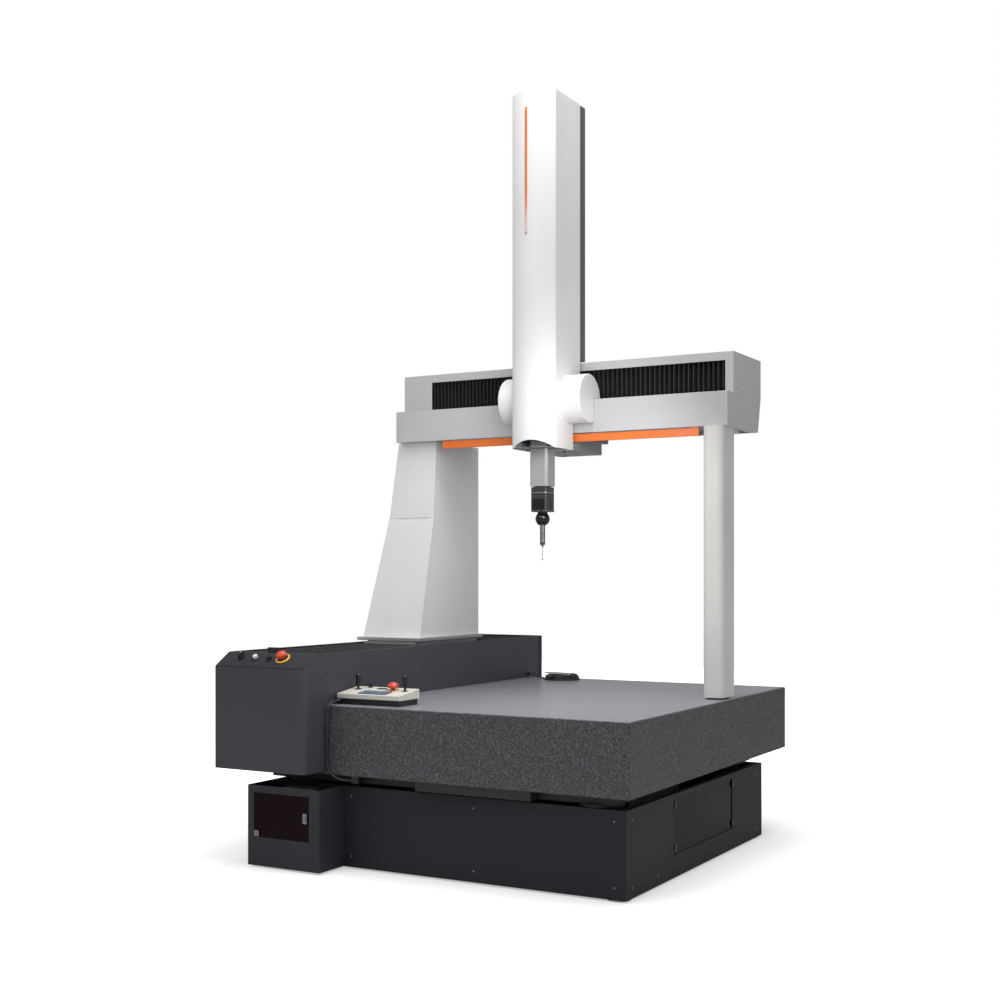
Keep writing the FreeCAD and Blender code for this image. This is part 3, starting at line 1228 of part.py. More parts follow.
def z_rear_cover():
    """The rear cover: narrow below the beam's step, deeper above it, open where the neck passes."""
    low, high, wall = S.z_cover_low, S.z_cover_top, S.z_wall
    step = S.beam_step + S.z_clear
    side = [(S.z_seam, low), (S.z_rear_step, low), (S.z_rear_step, step), (S.z_rear_back, step),
            (S.z_rear_back, high), (S.z_seam, high)]
    outer = prism("YZ", COVER_Z_X[0], COVER_Z_X[1], side)
    inside_x = (COVER_Z_X[0] + wall, COVER_Z_X[1] - wall)
    upper = block(inside_x, (S.z_seam - wall, S.z_rear_back - wall), (step - wall * 2, high - wall))
    lower = block(inside_x, (S.z_seam - wall, S.z_rear_step - wall), (low + wall + S.link_height, step))
    mouth = block(inside_x, (S.z_rear_back - wall * 2, S.z_rear_back + wall), (step, S.beam_top))
    shelf = block(inside_x, (S.z_seam - wall, S.z_rear_back + wall), (step - wall, step + wall))
    return cut(outer, upper, lower, mouth, shelf, hub_bore())


def z_rear_duct():
    """The cable duct behind the Z covers, above the beam."""
    y = (S.z_rear_back, S.z_rear_back + S.duct_depth)
    return block(around(AXIS_X, S.duct_width / 2), y,
                 (S.beam_top + S.duct_gap, S.z_cover_top - S.duct_top_gap))


def hub_covers():
    """The two round covers over the drive motors, turned, hollow and cut back along the beam."""
    radius, width, wall, edge, rim = S.hub_radius, S.hub_width, S.hub_wall, S.hub_edge, S.hub_rim
    bulge = edge * (1 - math.sqrt(0.5))
    outline = [(radius - wall, 0), (radius, 0), (radius, rim), (radius - wall / 2, rim),
               (radius - wall / 2, width - edge), ("arc", radius - wall / 2 - bulge, width - bulge),
               (radius - wall / 2 - edge, width), (0, width), (0, width - wall),
               (radius - wall * 2, width - wall)]
    clear = S.z_clear / 2
    hubs = []
    for x, turn in ((COVER_Z_X[1], 90), (COVER_Z_X[0], -90)):
        hub = turned(outline)
        hub.Placement = FreeCAD.Placement(V(), FreeCAD.Rotation(V(0, 1, 0), turn))
        place(hub, x, S.hub_y, S.beam_step)
        reach = (COVER_Z_X[0] - width - S.over, COVER_Z_X[1] + width + S.over)
        below = block(reach, (S.beam_front - clear, S.beam_back),
                      (S.beam_step - radius * 2, S.beam_step + clear))
        above = block(reach, (S.beam_upper_front - clear, S.beam_back),
                      (S.beam_step, S.beam_step + radius * 2))
        hubs.append(cut(hub, below, above))
    return group(*hubs)


def ram_guide():
    """The block that guides the ram, its lower plate inside the Z cover, and the counterbalance post."""
    ram = around(AXIS_X, RAM_HALF + S.air_gap), around(AXIS_Y, RAM_HALF + S.air_gap)
    low = BASE_Z + S.base_thick - S.play
    guide = prism("XY", low, S.block_top, rectangle(BLOCK_X, BLOCK_Y), rectangle(*ram))
    slack = S.z_wall + S.play
    plate = prism("XY", BASE_Z, BASE_Z + S.base_thick, z_plan(slack, S.z_rear_step - slack),
                  rectangle(*ram))
    return fuse(guide, plate)


def counterbalance():
    """The column behind the ram, its arm over the ram, and the fixed rod with its piston."""
    clear = S.z_wall + S.play
    top = S.z_cover_top - clear
    column_y = (BLOCK_Y[1] - S.block_wall + S.play, BLOCK_Y[1])
    column = block(BLOCK_X, column_y, (S.block_top, top))
    arm = block(around(AXIS_X, S.ram_bore), (AXIS_Y - S.ram_bore, BLOCK_Y[1]), (top - S.bar_wall, top))
    shaft = rod(S.rod_radius, (AXIS_X, AXIS_Y, S.rod_low), top - S.rod_low - S.play)
    piston = rod(S.ram_bore - S.air_gap, (AXIS_X, AXIS_Y, S.rod_low - S.piston_height), S.piston_height)
    return fuse(column, arm, shaft, piston)


def drive_motors():
    """The carriage's two drive motors, on both sides of the ram's guide."""
    motors = []
    for x, start in ((BLOCK_X[1], BLOCK_X[1]), (BLOCK_X[0], BLOCK_X[0] - S.motor_length)):
        motors.append(rod(S.motor_radius, (start, S.motor_y, S.beam_step), S.motor_length, "X"))
    return group(*motors)


# ---------------------------------------------------------------- ram, probe head and probe
def ram():
    """The square ram with chamfered edges, bored from above, with the gland on its top."""
    half, chamfer = RAM_HALF, S.ram_chamfer
    x, y = around(AXIS_X, half), around(AXIS_Y, half)
    outline = [(x[0] + chamfer, y[0]), (x[1] - chamfer, y[0]), (x[1], y[0] + chamfer),
               (x[1], y[1] - chamfer), (x[1] - chamfer, y[1]), (x[0] + chamfer, y[1]),
               (x[0], y[1] - chamfer), (x[0], y[0] + chamfer)]
    bar = prism("XY", S.ram_low, RAM_TOP, outline)
    bore_low = S.ram_low + S.ram_floor
    bore = rod(S.ram_bore, (AXIS_X, AXIS_Y, bore_low), RAM_TOP - bore_low - S.gland_height)
    throat = rod(S.rod_radius + S.air_gap, (AXIS_X, AXIS_Y, bore_low), S.ram_length)
    return cut(bar, bore, throat)


def probe_head():
    """The adapter and ring under the ram, and the squared body of the indexing head."""
    adapter = turned([(0, S.head_collar + S.head_height), (S.adapter_radius, S.head_collar + S.head_height),
                      (S.adapter_radius, S.head_collar + S.head_height + S.head_ring),
                      (S.adapter_radius - S.rim_step, S.head_collar + S.head_height + S.head_ring),
                      (S.adapter_radius - S.rim_step, S.ram_low - HEAD_LOW), (0, S.ram_low - HEAD_LOW)])
    place(adapter, AXIS_X, AXIS_Y, HEAD_LOW)
    half, bend = S.head_width / 2, S.head_round
    x, y = around(AXIS_X, half), around(AXIS_Y, half)
    slack = 1 - math.sqrt(0.5)
    outline = [(x[0] + bend, y[0]), (x[1] - bend, y[0]),
               ("arc", x[1] - bend * slack, y[0] + bend * slack), (x[1], y[0] + bend),
               (x[1], y[1] - bend), ("arc", x[1] - bend * slack, y[1] - bend * slack),
               (x[1] - bend, y[1]), (x[0] + bend, y[1]),
               ("arc", x[0] + bend * slack, y[1] - bend * slack), (x[0], y[1] - bend),
               (x[0], y[0] + bend), ("arc", x[0] + bend * slack, y[0] + bend * slack)]
    body = prism("XY", HEAD_LOW, HEAD_TOP, outline)
    seat = rod(S.ball_neck + S.play, (AXIS_X, AXIS_Y, HEAD_LOW - S.over), S.ball_neck / 2 + S.over)
    return cut(fuse(body, adapter), seat)


def head_ball():
    """The turning ball with its neck in the head, and the slot in which the drum tilts."""
    neck_top = S.ball_drop + S.ball_neck / 2 - S.play
    ball = DOC.addObject("Part::Sphere", "Ball")
    bind(ball, {"Radius": S.ball_radius})
    place(ball, AXIS_X, AXIS_Y, BALL_Z)
    roof = block(around(AXIS_X, S.ball_radius * 2), around(AXIS_Y, S.ball_radius * 2),
                 (HEAD_LOW - S.play, HEAD_LOW + S.ball_radius * 2))
    neck = rod(S.ball_neck, (AXIS_X, AXIS_Y, BALL_Z + S.drum_radius + S.sheet),
               neck_top - S.drum_radius - S.sheet)
    gap = S.drum_radius + S.play * 2
    slot = block(around(AXIS_X, S.slot_width / 2), (AXIS_Y - gap, AXIS_Y + S.ball_radius * 2),
                 (BALL_Z - S.ball_radius * 2, BALL_Z + gap))
    pin = rod(S.tilt_pin, (AXIS_X - S.slot_width * 0.7, AXIS_Y, BALL_Z), S.slot_width * 1.4, "X")
    return fuse(cut(fuse(cut(ball, roof), neck), slot), pin)


def touch_probe():
    """The tilting drum on its pin and the touch probe under it."""
    drum = cut(rod(S.drum_radius, (AXIS_X - S.drum_width / 2, AXIS_Y, BALL_Z), S.drum_width, "X"),
               rod(S.tilt_pin + S.air_gap, (AXIS_X - S.slot_width, AXIS_Y, BALL_Z), S.slot_width * 2, "X"))
    radius, height = S.probe_radius, S.probe_length - S.drum_radius / 2
    waist = height * 0.42
    barrel = turned([(0, 0), (radius * 0.7, 0), (radius, radius * 0.5), (radius, waist),
                     (radius * 0.9, waist), (radius * 0.9, waist + S.play * 4),
                     (radius, waist + S.play * 4), (radius, height), (0, height)])
    place(barrel, AXIS_X, AXIS_Y, PROBE_LOW)
    free = rod(S.tilt_pin + S.air_gap, (AXIS_X - S.slot_width, AXIS_Y, BALL_Z), S.slot_width * 2, "X")
    return cut(fuse(drum, barrel), free)


def stylus():
    """The stylus: its threaded seat, its shaft and the ruby ball."""
    tip, length, seat = S.stylus_tip, S.stylus_length, S.stylus_seat_height
    shaft, taper = S.stylus_shaft, S.stylus_seat
    needle = turned([(0, 0), (shaft, 0), (shaft, length - seat), (taper, length - seat * 0.6),
                     (taper, length), (0, length)])
    place(needle, AXIS_X, AXIS_Y, PROBE_LOW - length)
    ruby = DOC.addObject("Part::Sphere", "Ruby")
    bind(ruby, {"Radius": tip})
    place(ruby, AXIS_X, AXIS_Y, PROBE_LOW - length)
    return fuse(needle, ruby)


# ---------------------------------------------------------------- pendant
def stick_places():
    """The two joysticks' places along X."""
    return (PENDANT_X[0] + S.stick_inset, PENDANT_X[1] - S.stick_inset)


STICK_Y = PENDANT_Y[0] + S.stick_setback
PIVOT_Z = S.table_top + S.stick_pivot


def lid_height(setback):
    """The pendant cover's height at a distance behind its front."""
    return TRAY_TOP + S.cover_front + (S.cover_back - S.cover_front) * setback / S.pendant_depth


def pendant_base():
    """The pendant's tray, with the lugs and pins that carry the joysticks' rings."""
    wall, inset = S.tray_wall, S.tray_inset
    x = (PENDANT_X[0] + inset, PENDANT_X[1] - inset)
    y = (PENDANT_Y[0] + inset, PENDANT_Y[1] - inset)
    shell = cut(block(x, y, (S.table_top, TRAY_TOP)),
                block((x[0] + wall, x[1] - wall), (y[0] + wall, y[1] - wall),
                      (S.table_top + wall, TRAY_TOP + wall)))
    lugs = []
    for stick_x in stick_places():
        for side in (-1, 1):
            near = stick_x + side * (S.ring_outer + S.play)
            lug_x = span(near, side, S.lug_thick)
            lugs.append(block(lug_x, around(STICK_Y, S.lug_width / 2),
                              (S.table_top + wall - S.play, PIVOT_Z + S.lug_width / 2)))
            pin_length = S.play + S.lug_thick + (S.ring_outer - S.ring_inner) * 0.6
            pin_x = near + side * S.lug_thick if side < 0 else near + S.lug_thick - pin_length
            lugs.append(rod(S.gimbal_pin, (pin_x, STICK_Y, PIVOT_Z), pin_length, "X"))
    return fuse(shell, *lugs)


def pendant_cover():
    """The pendant's sloped cover, hollow, with holes for what stands on it."""
    wall = S.tray_wall
    outer = [(PENDANT_Y[0], TRAY_TOP), (PENDANT_Y[1], TRAY_TOP),
             (PENDANT_Y[1], lid_height(S.pendant_depth)), (PENDANT_Y[0], TRAY_TOP + S.cover_front)]
    inner = [(PENDANT_Y[0] + wall, TRAY_TOP - wall), (PENDANT_Y[1] - wall, TRAY_TOP - wall),
             (PENDANT_Y[1] - wall, lid_height(S.pendant_depth) - wall),
             (PENDANT_Y[0] + wall, TRAY_TOP + S.cover_front - wall)]
    shell = cut(prism("YZ", PENDANT_X[0], PENDANT_X[1], outer),
                prism("YZ", PENDANT_X[0] + wall, PENDANT_X[1] - wall, inner))
    rim = S.tray_inset + wall
    floor = cut(block(PENDANT_X, PENDANT_Y, (TRAY_TOP, TRAY_TOP + wall)),
                block((PENDANT_X[0] + rim, PENDANT_X[1] - rim), (PENDANT_Y[0] + rim, PENDANT_Y[1] - rim),
                      (TRAY_TOP - wall, TRAY_TOP + wall * 2)))
    holes = [rod(S.stick_hole, (x, STICK_Y, PIVOT_Z), S.grip_low) for x in stick_places()]
    holes += [on_lid(rod(S.small_bush * 0.95, (0, 0, 0), wall * 4), x, setback, wall * 2)
              for x, setback in small_places()]
    return fuse(cut(fuse(shell, floor), *holes), *small_bushes())


def small_places():
    """The pendant stop's and the speed knob's places: X, and distance behind the pendant's front."""
    return ((PENDANT_X[1] - S.small_stop_inset, S.small_stop_setback),
            (PENDANT_X[0] + S.speed_inset, S.speed_setback))


def on_lid(obj, x, setback, depth=0):
    """Put an object that was made upright on the pendant's cover, a depth below its surface."""
    rise = S.cover_back - S.cover_front
    slant = root(rise * rise + S.pendant_depth * S.pendant_depth)
    depth = as_size(depth)
    return tilt(obj, LID_ANGLE, x, PENDANT_Y[0] + setback + depth * rise / slant,
                lid_height(setback) - depth * S.pendant_depth / slant)


def small_bushes():
    """The two bushes of the pendant's cover, in which the stop and the speed knob move."""
    bore, radius = S.small_stem + S.air_gap, S.small_bush
    flange, lip = radius * 1.4, S.tray_wall * 0.5
    bushes = []
    for x, setback in small_places():
        bush = turned([(bore, -S.tray_wall * 2.5), (radius, -S.tray_wall * 2.5), (radius, 0),
                       (flange, 0), (flange, lip), (bore, lip)])
        bushes.append(on_lid(bush, x, setback))
    return bushes


def small_stem(top):
    """The outline of a stem in the pendant's cover up to a height over it, with its collar."""
    rear = -S.tray_wall * 2.5 - S.air_gap
    collar = S.small_bush - S.play
    return [(0, rear - S.over), (collar, rear - S.over), (collar, rear), (S.small_stem, rear),
            (S.small_stem, top)]


def pendant_stop():
    """The pendant's mushroom-headed stop."""
    low = S.tray_wall * 0.5 + S.small_stop_travel + S.play
    height, radius = S.small_stop_height, S.small_stop_radius
    head = [(S.small_stem * 2, low), (radius, low + height * 0.25)]
    cap = round_cap(radius, low + height * 0.55, height * 0.45)
    x, setback = small_places()[0]
    return on_lid(turned(small_stem(low) + head + cap), x, setback)


def speed_knob():
    """The pendant's turning speed knob, with its pointer rib."""
    low, radius = S.tray_wall * 0.5 + S.play, S.speed_radius
    high = low + S.speed_height
    knob = turned(small_stem(low) + [(radius, low), (radius * 0.85, high), (0, high)])
    rib = block(around(as_size(0), S.play * 2), (as_size(0), radius * 0.8), (high - S.over, high + S.over))
    x, setback = small_places()[1]
    return on_lid(fuse(knob, rib), x, setback)


def joystick_ring(x):
    """The gimbal ring: it turns on the tray's pins and carries the joystick's pins."""
    outer, inner, half = S.ring_outer, S.ring_inner, S.ring_height / 2
    ring = turned([(inner, -half), (outer, -half), (outer, half), (inner, half)])
    place(ring, x, STICK_Y, PIVOT_Z)
    bore = S.gimbal_pin + S.air_gap
    across = rod(bore, (x - outer * 2, STICK_Y, PIVOT_Z), outer * 4, "X")
    along = rod(bore, (x, STICK_Y - outer * 2, PIVOT_Z), outer * 4, "Y")
    return cut(ring, across, along)


def joystick(x):
    """The joystick: its shaft with two pins, its dome and its grip."""
    shaft, dome, inner = S.stick_shaft, S.stick_dome, S.stick_dome - S.dome_wall
    reach, half = S.dome_reach, S.dome_reach / 2
    low, high, grip = S.grip_low, S.grip_high, S.grip_radius
    edge = root(dome * dome - shaft * shaft)
    lap = root(inner * inner - shaft * shaft)
    outline = [(0, -S.ring_height), (shaft, -S.ring_height), (shaft, lap),
               ("arc", inner * sine(half), inner * cosine(half)),
               (inner * sine(reach), inner * cosine(reach)),
               (dome * sine(reach), dome * cosine(reach)),
               ("arc", dome * sine(half), dome * cosine(half)), (shaft, edge), (shaft, low),
               (grip * 0.8, low), (grip, low + grip * 0.5)]
    body = turned(outline + round_cap(grip, high - grip * 0.7, grip * 0.7))
    place(body, x, STICK_Y, PIVOT_Z)
    reach_y = S.ring_outer - S.play
    pin = rod(S.gimbal_pin, (x, STICK_Y - reach_y, PIVOT_Z), reach_y * 2, "Y")
    return fuse(body, pin)


# ---------------------------------------------------------------- cords and their fittings
def route_from(x, y, *offsets):
    """A cord's points, given from a corner of the housing in plan and from the floor."""
    return [V(x.number + right, y.number + back, up) for right, back, up in offsets]


CABLE_ROUTE = route_from(LEFT, FRONT,
                         (395, 160.5, 556), (393.5, 143.5, 555), (392, 126.5, 553.5),
                         (390, 111, 545), (388.5, 102, 529), (387, 103.5, 500),
                         (384, 109.5, 455), (379, 112.5, 402), (376, 113.5, 362),
                         (382, 113.5, 333), (398, 115.5, 312), (423, 119.5, 300),
                         (449, 124.5, 297.5), (471, 126.5, 297.5))
LEAD_ROUTE = route_from(LEFT, BACK,
                        (480, -173.5, 551), (467, -172.5, 550), (451, -168.5, 549),
                        (434, -160.5, 549.5), (419, -149.5, 551), (406, -138.5, 553.5),
                        (395, -131.5, 556), (384, -128.5, 557))


def cord_path(route, label):
    """A wire of straight runs joined by tangent arcs along a route, and its smallest radius."""
    edges = []
    here = route[0]
    radii = []
    for before, corner, after in zip(route, route[1:], route[2:]):
        inward, outward = corner - before, after - corner
        half_turn = inward.getAngle(outward) / 2
        trim = 0.45 * min(inward.Length, outward.Length)
        radii.append(trim / math.tan(half_turn))
        inward.normalize()
        outward.normalize()
        start, stop = corner - inward * trim, corner + outward * trim
        to_middle = outward - inward
        to_middle.normalize()
        middle = corner + to_middle * (radii[-1] * (1 / math.cos(half_turn) - 1))
        edges.append(Part.LineSegment(here, start).toShape())
        edges.append(Part.Arc(start, middle, stop).toShape())
        here = stop
    edges.append(Part.LineSegment(here, route[-1]).toShape())
    print(label, "radii:", ", ".join(f"{radius:.0f}" for radius in radii))
    return Part.Wire(edges)


def cord(label, route, radius):
    """A cord's round tube along its route, checked against its section times its length."""
    path = cord_path(route, label)
    section = Part.Wire(Part.Circle(route[0], route[1] - route[0], radius.number).toShape())
    tube_shape = path.makePipeShell([section], True, False)
    expected = math.pi * radius.number ** 2 * path.Length
    print(label, f"volume ratio: {tube_shape.Volume / expected:.4f}")
    feature = DOC.addObject("Part::Feature", "Cord")
    feature.Shape = tube_shape
    return feature


def sensor_coil():
    """The coiled part of the sensor's lead, as one closed ring on the table."""
    middle, band, height = S.coil_radius, S.coil_band, S.coil_height
    low, high = height * 0.3, height * 0.7
    coil = turned([(middle - band * 0.6, 0), (middle + band * 0.6, 0), (middle + band, low),
                   (middle + band, high), (middle + band * 0.6, height),
                   (middle - band * 0.6, height), (middle - band, high), (middle - band, low)])
    place(coil, LEAD_ROUTE[0].x + middle + band, LEAD_ROUTE[0].y, S.table_top)
    return coil


def cable_fittings():
    """The pendant's gland, the socket under the table and the sensor's plug on the housing."""
    start, end, plug = CABLE_ROUTE[0], CABLE_ROUTE[-1], LEAD_ROUTE[-1]
    snug = S.cable_radius * 1.8
    gland = rod(snug, (start.x, start.y, start.z), PENDANT_Y[0] + S.tray_inset - start.y, "Y")
    socket = block((end.x, end.x + S.cable_radius * 9),
                   (end.y - S.cable_radius, end.y + S.cable_radius * 9),
                   (end.z - snug * 1.5, TABLE_Z[0]))
    jack = rod(S.lead_radius * 2.4, (HOUSING_X[1], plug.y, plug.z), plug.x - HOUSING_X[1], "X")
    return group(gland, socket, jack)


# ---------------------------------------------------------------- the whole machine
def build():
    """Make every piece; each call's first word is its node's name."""
    piece("levelling_feet", levelling_feet())
    piece("stand_frame", stand_frame())
    piece("stand_covers", stand_covers())
    piece("service_box", service_box())
    piece("tinted_windows", tinted_windows())
    piece("air_filters", air_filters())
    piece("motion_controller", motion_controller())
    piece("air_springs", air_springs())
    piece("carrier_beams", carrier_beams())
    piece("granite_table", granite_table())
    piece("y_guide_bar", y_guide_bar())
    piece("housing_inner_cover", housing_inner_cover())
    piece("housing_outer_covers", group(housing_outer_cover(), housing_rear_cap()))
    piece("control_panel", control_panel())
    piece("switch_bezels", switch_bezels())
    piece("selector_knob", selector_knob())
    piece("start_button", push_button(1))
    piece("reset_button", push_button(2))
    piece("emergency_stop", emergency_stop())
    piece("y_bellows_front", y_bellows(S.pleats_front, (SLOPE_BACK + S.panel_ledge, S.base_front)))
    piece("y_bellows_rear", y_bellows(S.pleats_rear, (SADDLE_Y[1], BACK - S.sheet)))
    piece("y_carriage", y_carriage())
    piece("leg_base", leg_base())
    piece("left_leg_column", left_leg_column())
    piece("left_leg_cover", left_leg_cover())
    piece("right_leg", right_leg())
    piece("right_air_pad", right_air_pad())
    piece("beam_bar", beam_bar())
    piece("beam_front_cover", beam_front_cover())
    piece("beam_top_cover", beam_top_cover())
    piece("beam_end_caps", beam_end_caps())
    piece("guard_strip", guard_strip())
    piece("x_bellows_left", x_bellows(S.pleats_left, (WINDOW_X[0], BLOCK_X[0])))
    piece("x_bellows_right", x_bellows(S.pleats_right, (BLOCK_X[1], WINDOW_X[1])))
    piece("x_carriage", x_carriage())
    piece("under_box", under_box())
    piece("z_front_cover", z_front_cover())
    piece("z_rear_cover", z_rear_cover())
    piece("z_rear_duct", z_rear_duct())
    piece("hub_covers", hub_covers())
    piece("ram_guide", ram_guide())
    piece("counterbalance", counterbalance())
    piece("drive_motors", drive_motors())
    piece("ram", ram())
    piece("probe_head", probe_head())
    piece("head_ball", head_ball())
    piece("touch_probe", touch_probe())
    piece("stylus", stylus())
    piece("pendant_base", pendant_base())
    piece("pendant_cover", pendant_cover())
    piece("pendant_stop", pendant_stop())
    piece("speed_knob", speed_knob())
    for side, x in zip(("left", "right"), stick_places()):
        piece(f"{side}_joystick_ring", joystick_ring(x))
        piece(f"{side}_joystick", joystick(x))
    piece("pendant_cable", cord("pendant_cable", CABLE_ROUTE, S.cable_radius))
    piece("sensor_coil", sensor_coil())
    piece("sensor_lead", cord("sensor_lead", LEAD_ROUTE, S.lead_radius))
    piece("cable_fittings", cable_fittings())


def check():
    """Stop if any object of the document has failed or any piece has no sound shape."""
    failed = [f"{obj.Name} {obj.State}" for obj in DOC.Objects
              if "Invalid" in obj.State or "Error" in obj.State]
    unsound = [obj.Label for obj in PIECES if obj.Shape.isNull() or not obj.Shape.isValid()]
    if failed or unsound:
        raise RuntimeError(f"failed objects: {failed}; unsound pieces: {unsound}")


def export():
    """Write every piece to its own STEP file."""
    os.makedirs("parts", exist_ok=True)
    for obj in PIECES:
        obj.Shape.exportStep(f"parts/{obj.Label}.step")


build()
DOC.recompute()
check()
export()
print(len(PIECES), "pieces")
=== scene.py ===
"""The looks of a bridge-type coordinate measuring machine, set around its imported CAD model.

Metres, +Z up, +X to the right, +Y to the back. Each operator makes one piece or one group of like
pieces, or gives CAD nodes their finish.
"""
import math

import bmesh
import bpy
from bpy.props import FloatProperty, FloatVectorProperty, IntProperty, PointerProperty
from mathutils import Matrix, Vector, noise


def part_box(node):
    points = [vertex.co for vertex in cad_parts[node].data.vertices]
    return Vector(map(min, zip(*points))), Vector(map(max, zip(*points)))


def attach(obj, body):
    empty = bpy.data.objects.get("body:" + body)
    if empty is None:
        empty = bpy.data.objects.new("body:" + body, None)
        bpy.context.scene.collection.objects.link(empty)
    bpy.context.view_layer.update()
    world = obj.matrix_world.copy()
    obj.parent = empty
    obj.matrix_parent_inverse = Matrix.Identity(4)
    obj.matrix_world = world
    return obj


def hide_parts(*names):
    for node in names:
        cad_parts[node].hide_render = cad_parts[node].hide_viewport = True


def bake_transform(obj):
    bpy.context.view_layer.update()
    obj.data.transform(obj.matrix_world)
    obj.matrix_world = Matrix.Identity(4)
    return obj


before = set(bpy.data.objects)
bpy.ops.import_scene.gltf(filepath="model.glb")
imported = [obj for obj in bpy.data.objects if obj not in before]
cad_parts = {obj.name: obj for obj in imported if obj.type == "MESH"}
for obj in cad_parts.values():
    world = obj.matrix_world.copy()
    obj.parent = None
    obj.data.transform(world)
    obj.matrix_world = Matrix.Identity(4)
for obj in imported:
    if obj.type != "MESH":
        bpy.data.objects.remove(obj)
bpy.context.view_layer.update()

bl_info = {
    "name": "Coordinate measuring machine",
    "version": (1, 0, 0),
    "blender": (4, 5, 0),
    "location": "View3D > Sidebar > Measuring machine",
    "description": "Finishes, bellows, cords and small fittings of a bridge-type measuring machine",
    "category": "Object",
}

MM = 0.001
X, Y, Z = Vector((1, 0, 0)), Vector((0, 1, 0)), Vector((0, 0, 1))


# ---------------------------------------------------------------- settings

def to_linear(code):
    """The linear colour of an sRGB hex value such as "E8633A"."""
    parts = [int(code[i:i + 2], 16) / 255 for i in (0, 2, 4)]
    return tuple(p / 12.92 if p <= 0.04045 else ((p + 0.055) / 1.055) ** 2.4 for p in parts)


def paint(code, name, description):
    """A colour setting."""
    return FloatVectorProperty(name=name, description=description, subtype="COLOR", size=3,
                               min=0, max=1, default=to_linear(code))


def length(value, name, description):
    """A length setting, from millimetres."""
    return FloatProperty(name=name, description=description, default=value * MM, unit="LENGTH")


class MachineColours(bpy.types.PropertyGroup):
    """The machine's colours."""
    covers: paint("E4E4E4", "Light covers", "Powder coat of the leg, the Z cover and the hub covers")
    beam: paint("BCBCBE", "Beam covers", "Powder coat of the beam's covers and end caps")
    housing: paint("33353A", "Dark covers", "Powder coat of the housing and the control panel")
    # The stand's colour is the dark covers' paint darkened, as painted shade of the lower light there.
    stand: paint("2C2E32", "Stand covers", "Powder coat of the stand and the service box")
    accent: paint("E8742E", "Accent", "Enamel of the guard strip and the stripe")
    granite: paint("434448", "Granite", "Ground colour of the granite")
    pendant: paint("DAD7CF", "Pendant", "Moulded cover of the pendant")
    stop: paint("DB4A30", "Stop buttons", "Moulded heads of both emergency stops")


class MachineSizes(bpy.types.PropertyGroup):
    """Sizes of what is added to the CAD model."""
    edge: length(0.9, "Edge radius", "Rounding of folded sheet edges")
    cloth: length(0.8, "Bellows cloth", "Thickness of the bellows' coated cloth")
    x_pleats: IntProperty(name="X pleats", description="Pleats in each X bellows", default=32, min=8)
    front_pleats: IntProperty(name="Front Y pleats", description="Pleats in the front Y bellows",
                              default=46, min=8)
    rear_pleats: IntProperty(name="Rear Y pleats", description="Pleats in the rear Y bellows",
                             default=24, min=8)
    coil_turns: IntProperty(name="Coil turns", description="Turns in the sensor lead's coil",
                            default=8, min=2)
    stripe: length(10.5, "Stripe width", "Width of the stripe on the Z cover")


def colours():
    return bpy.context.scene.machine_colours


def sizes():
    return bpy.context.scene.machine_sizes


# ---------------------------------------------------------------- materials

def add(tree, kind, sockets=None, **settings):
    """Adds a node: its settings are attributes, and a socket takes a value or another's output."""
    node = tree.nodes.new(kind)
    for key, value in settings.items():
        setattr(node, key, value)
    for key, value in (sockets or {}).items():
        socket = node.inputs[key]
        if isinstance(value, bpy.types.NodeSocket):
            tree.links.new(value, socket)
        else:
            socket.default_value = value
    return node


def new_material(name, colour, roughness, metallic=0.0, **shader):
    """A material with a principled shader: returns it, its tree, its shader and object coordinates."""
    material = bpy.data.materials.new(name)
    material.use_nodes = True
    tree = material.node_tree
    tree.nodes.clear()
    principled = add(tree, "ShaderNodeBsdfPrincipled",
                     {"Base Color": (*colour, 1), "Roughness": roughness, "Metallic": metallic})
    for key, value in shader.items():
        principled.inputs[key.replace("_", " ").title().replace("Ior", "IOR")].default_value = value
    add(tree, "ShaderNodeOutputMaterial", {"Surface": principled.outputs["BSDF"]})
    place = add(tree, "ShaderNodeTexCoord").outputs["Object"]
    material.diffuse_color = (*colour, 1)
    return material, tree, principled, place


def grain(tree, place, size, detail=2.0):
    """Noise with grains of a real size in metres."""
    return add(tree, "ShaderNodeTexNoise",
               {"Vector": place, "Scale": 1 / size, "Detail": detail, "Roughness": 0.55})


def tint(tree, shader, factor, colour, other, low=0.35, high=0.65):
    """Links a base colour that goes from one colour to the other by a factor."""
    ramp = add(tree, "ShaderNodeValToRGB", {"Fac": factor})
    ramp.color_ramp.elements[0].position, ramp.color_ramp.elements[1].position = low, high
    ramp.color_ramp.elements[0].color, ramp.color_ramp.elements[1].color = (*colour, 1), (*other, 1)
    tree.links.new(ramp.outputs["Color"], shader.inputs["Base Color"])
    return ramp


def span_to(tree, shader, socket, factor, low, high):
    """Links a shader input that runs between two values with a factor."""
    reach = add(tree, "ShaderNodeMapRange", {"Value": factor, "To Min": low, "To Max": high})
    tree.links.new(reach.outputs["Result"], shader.inputs[socket])


def relief(tree, shader, height, depth, strength=1.0):
    """Raises the surface by a height pattern of a real depth in metres."""
    bump = add(tree, "ShaderNodeBump", {"Height": height, "Distance": depth, "Strength": strength})
    tree.links.new(bump.outputs["Normal"], shader.inputs["Normal"])


def shade(colour, share):
    return tuple(max(0.0, min(1.0, part * share)) for part in colour)


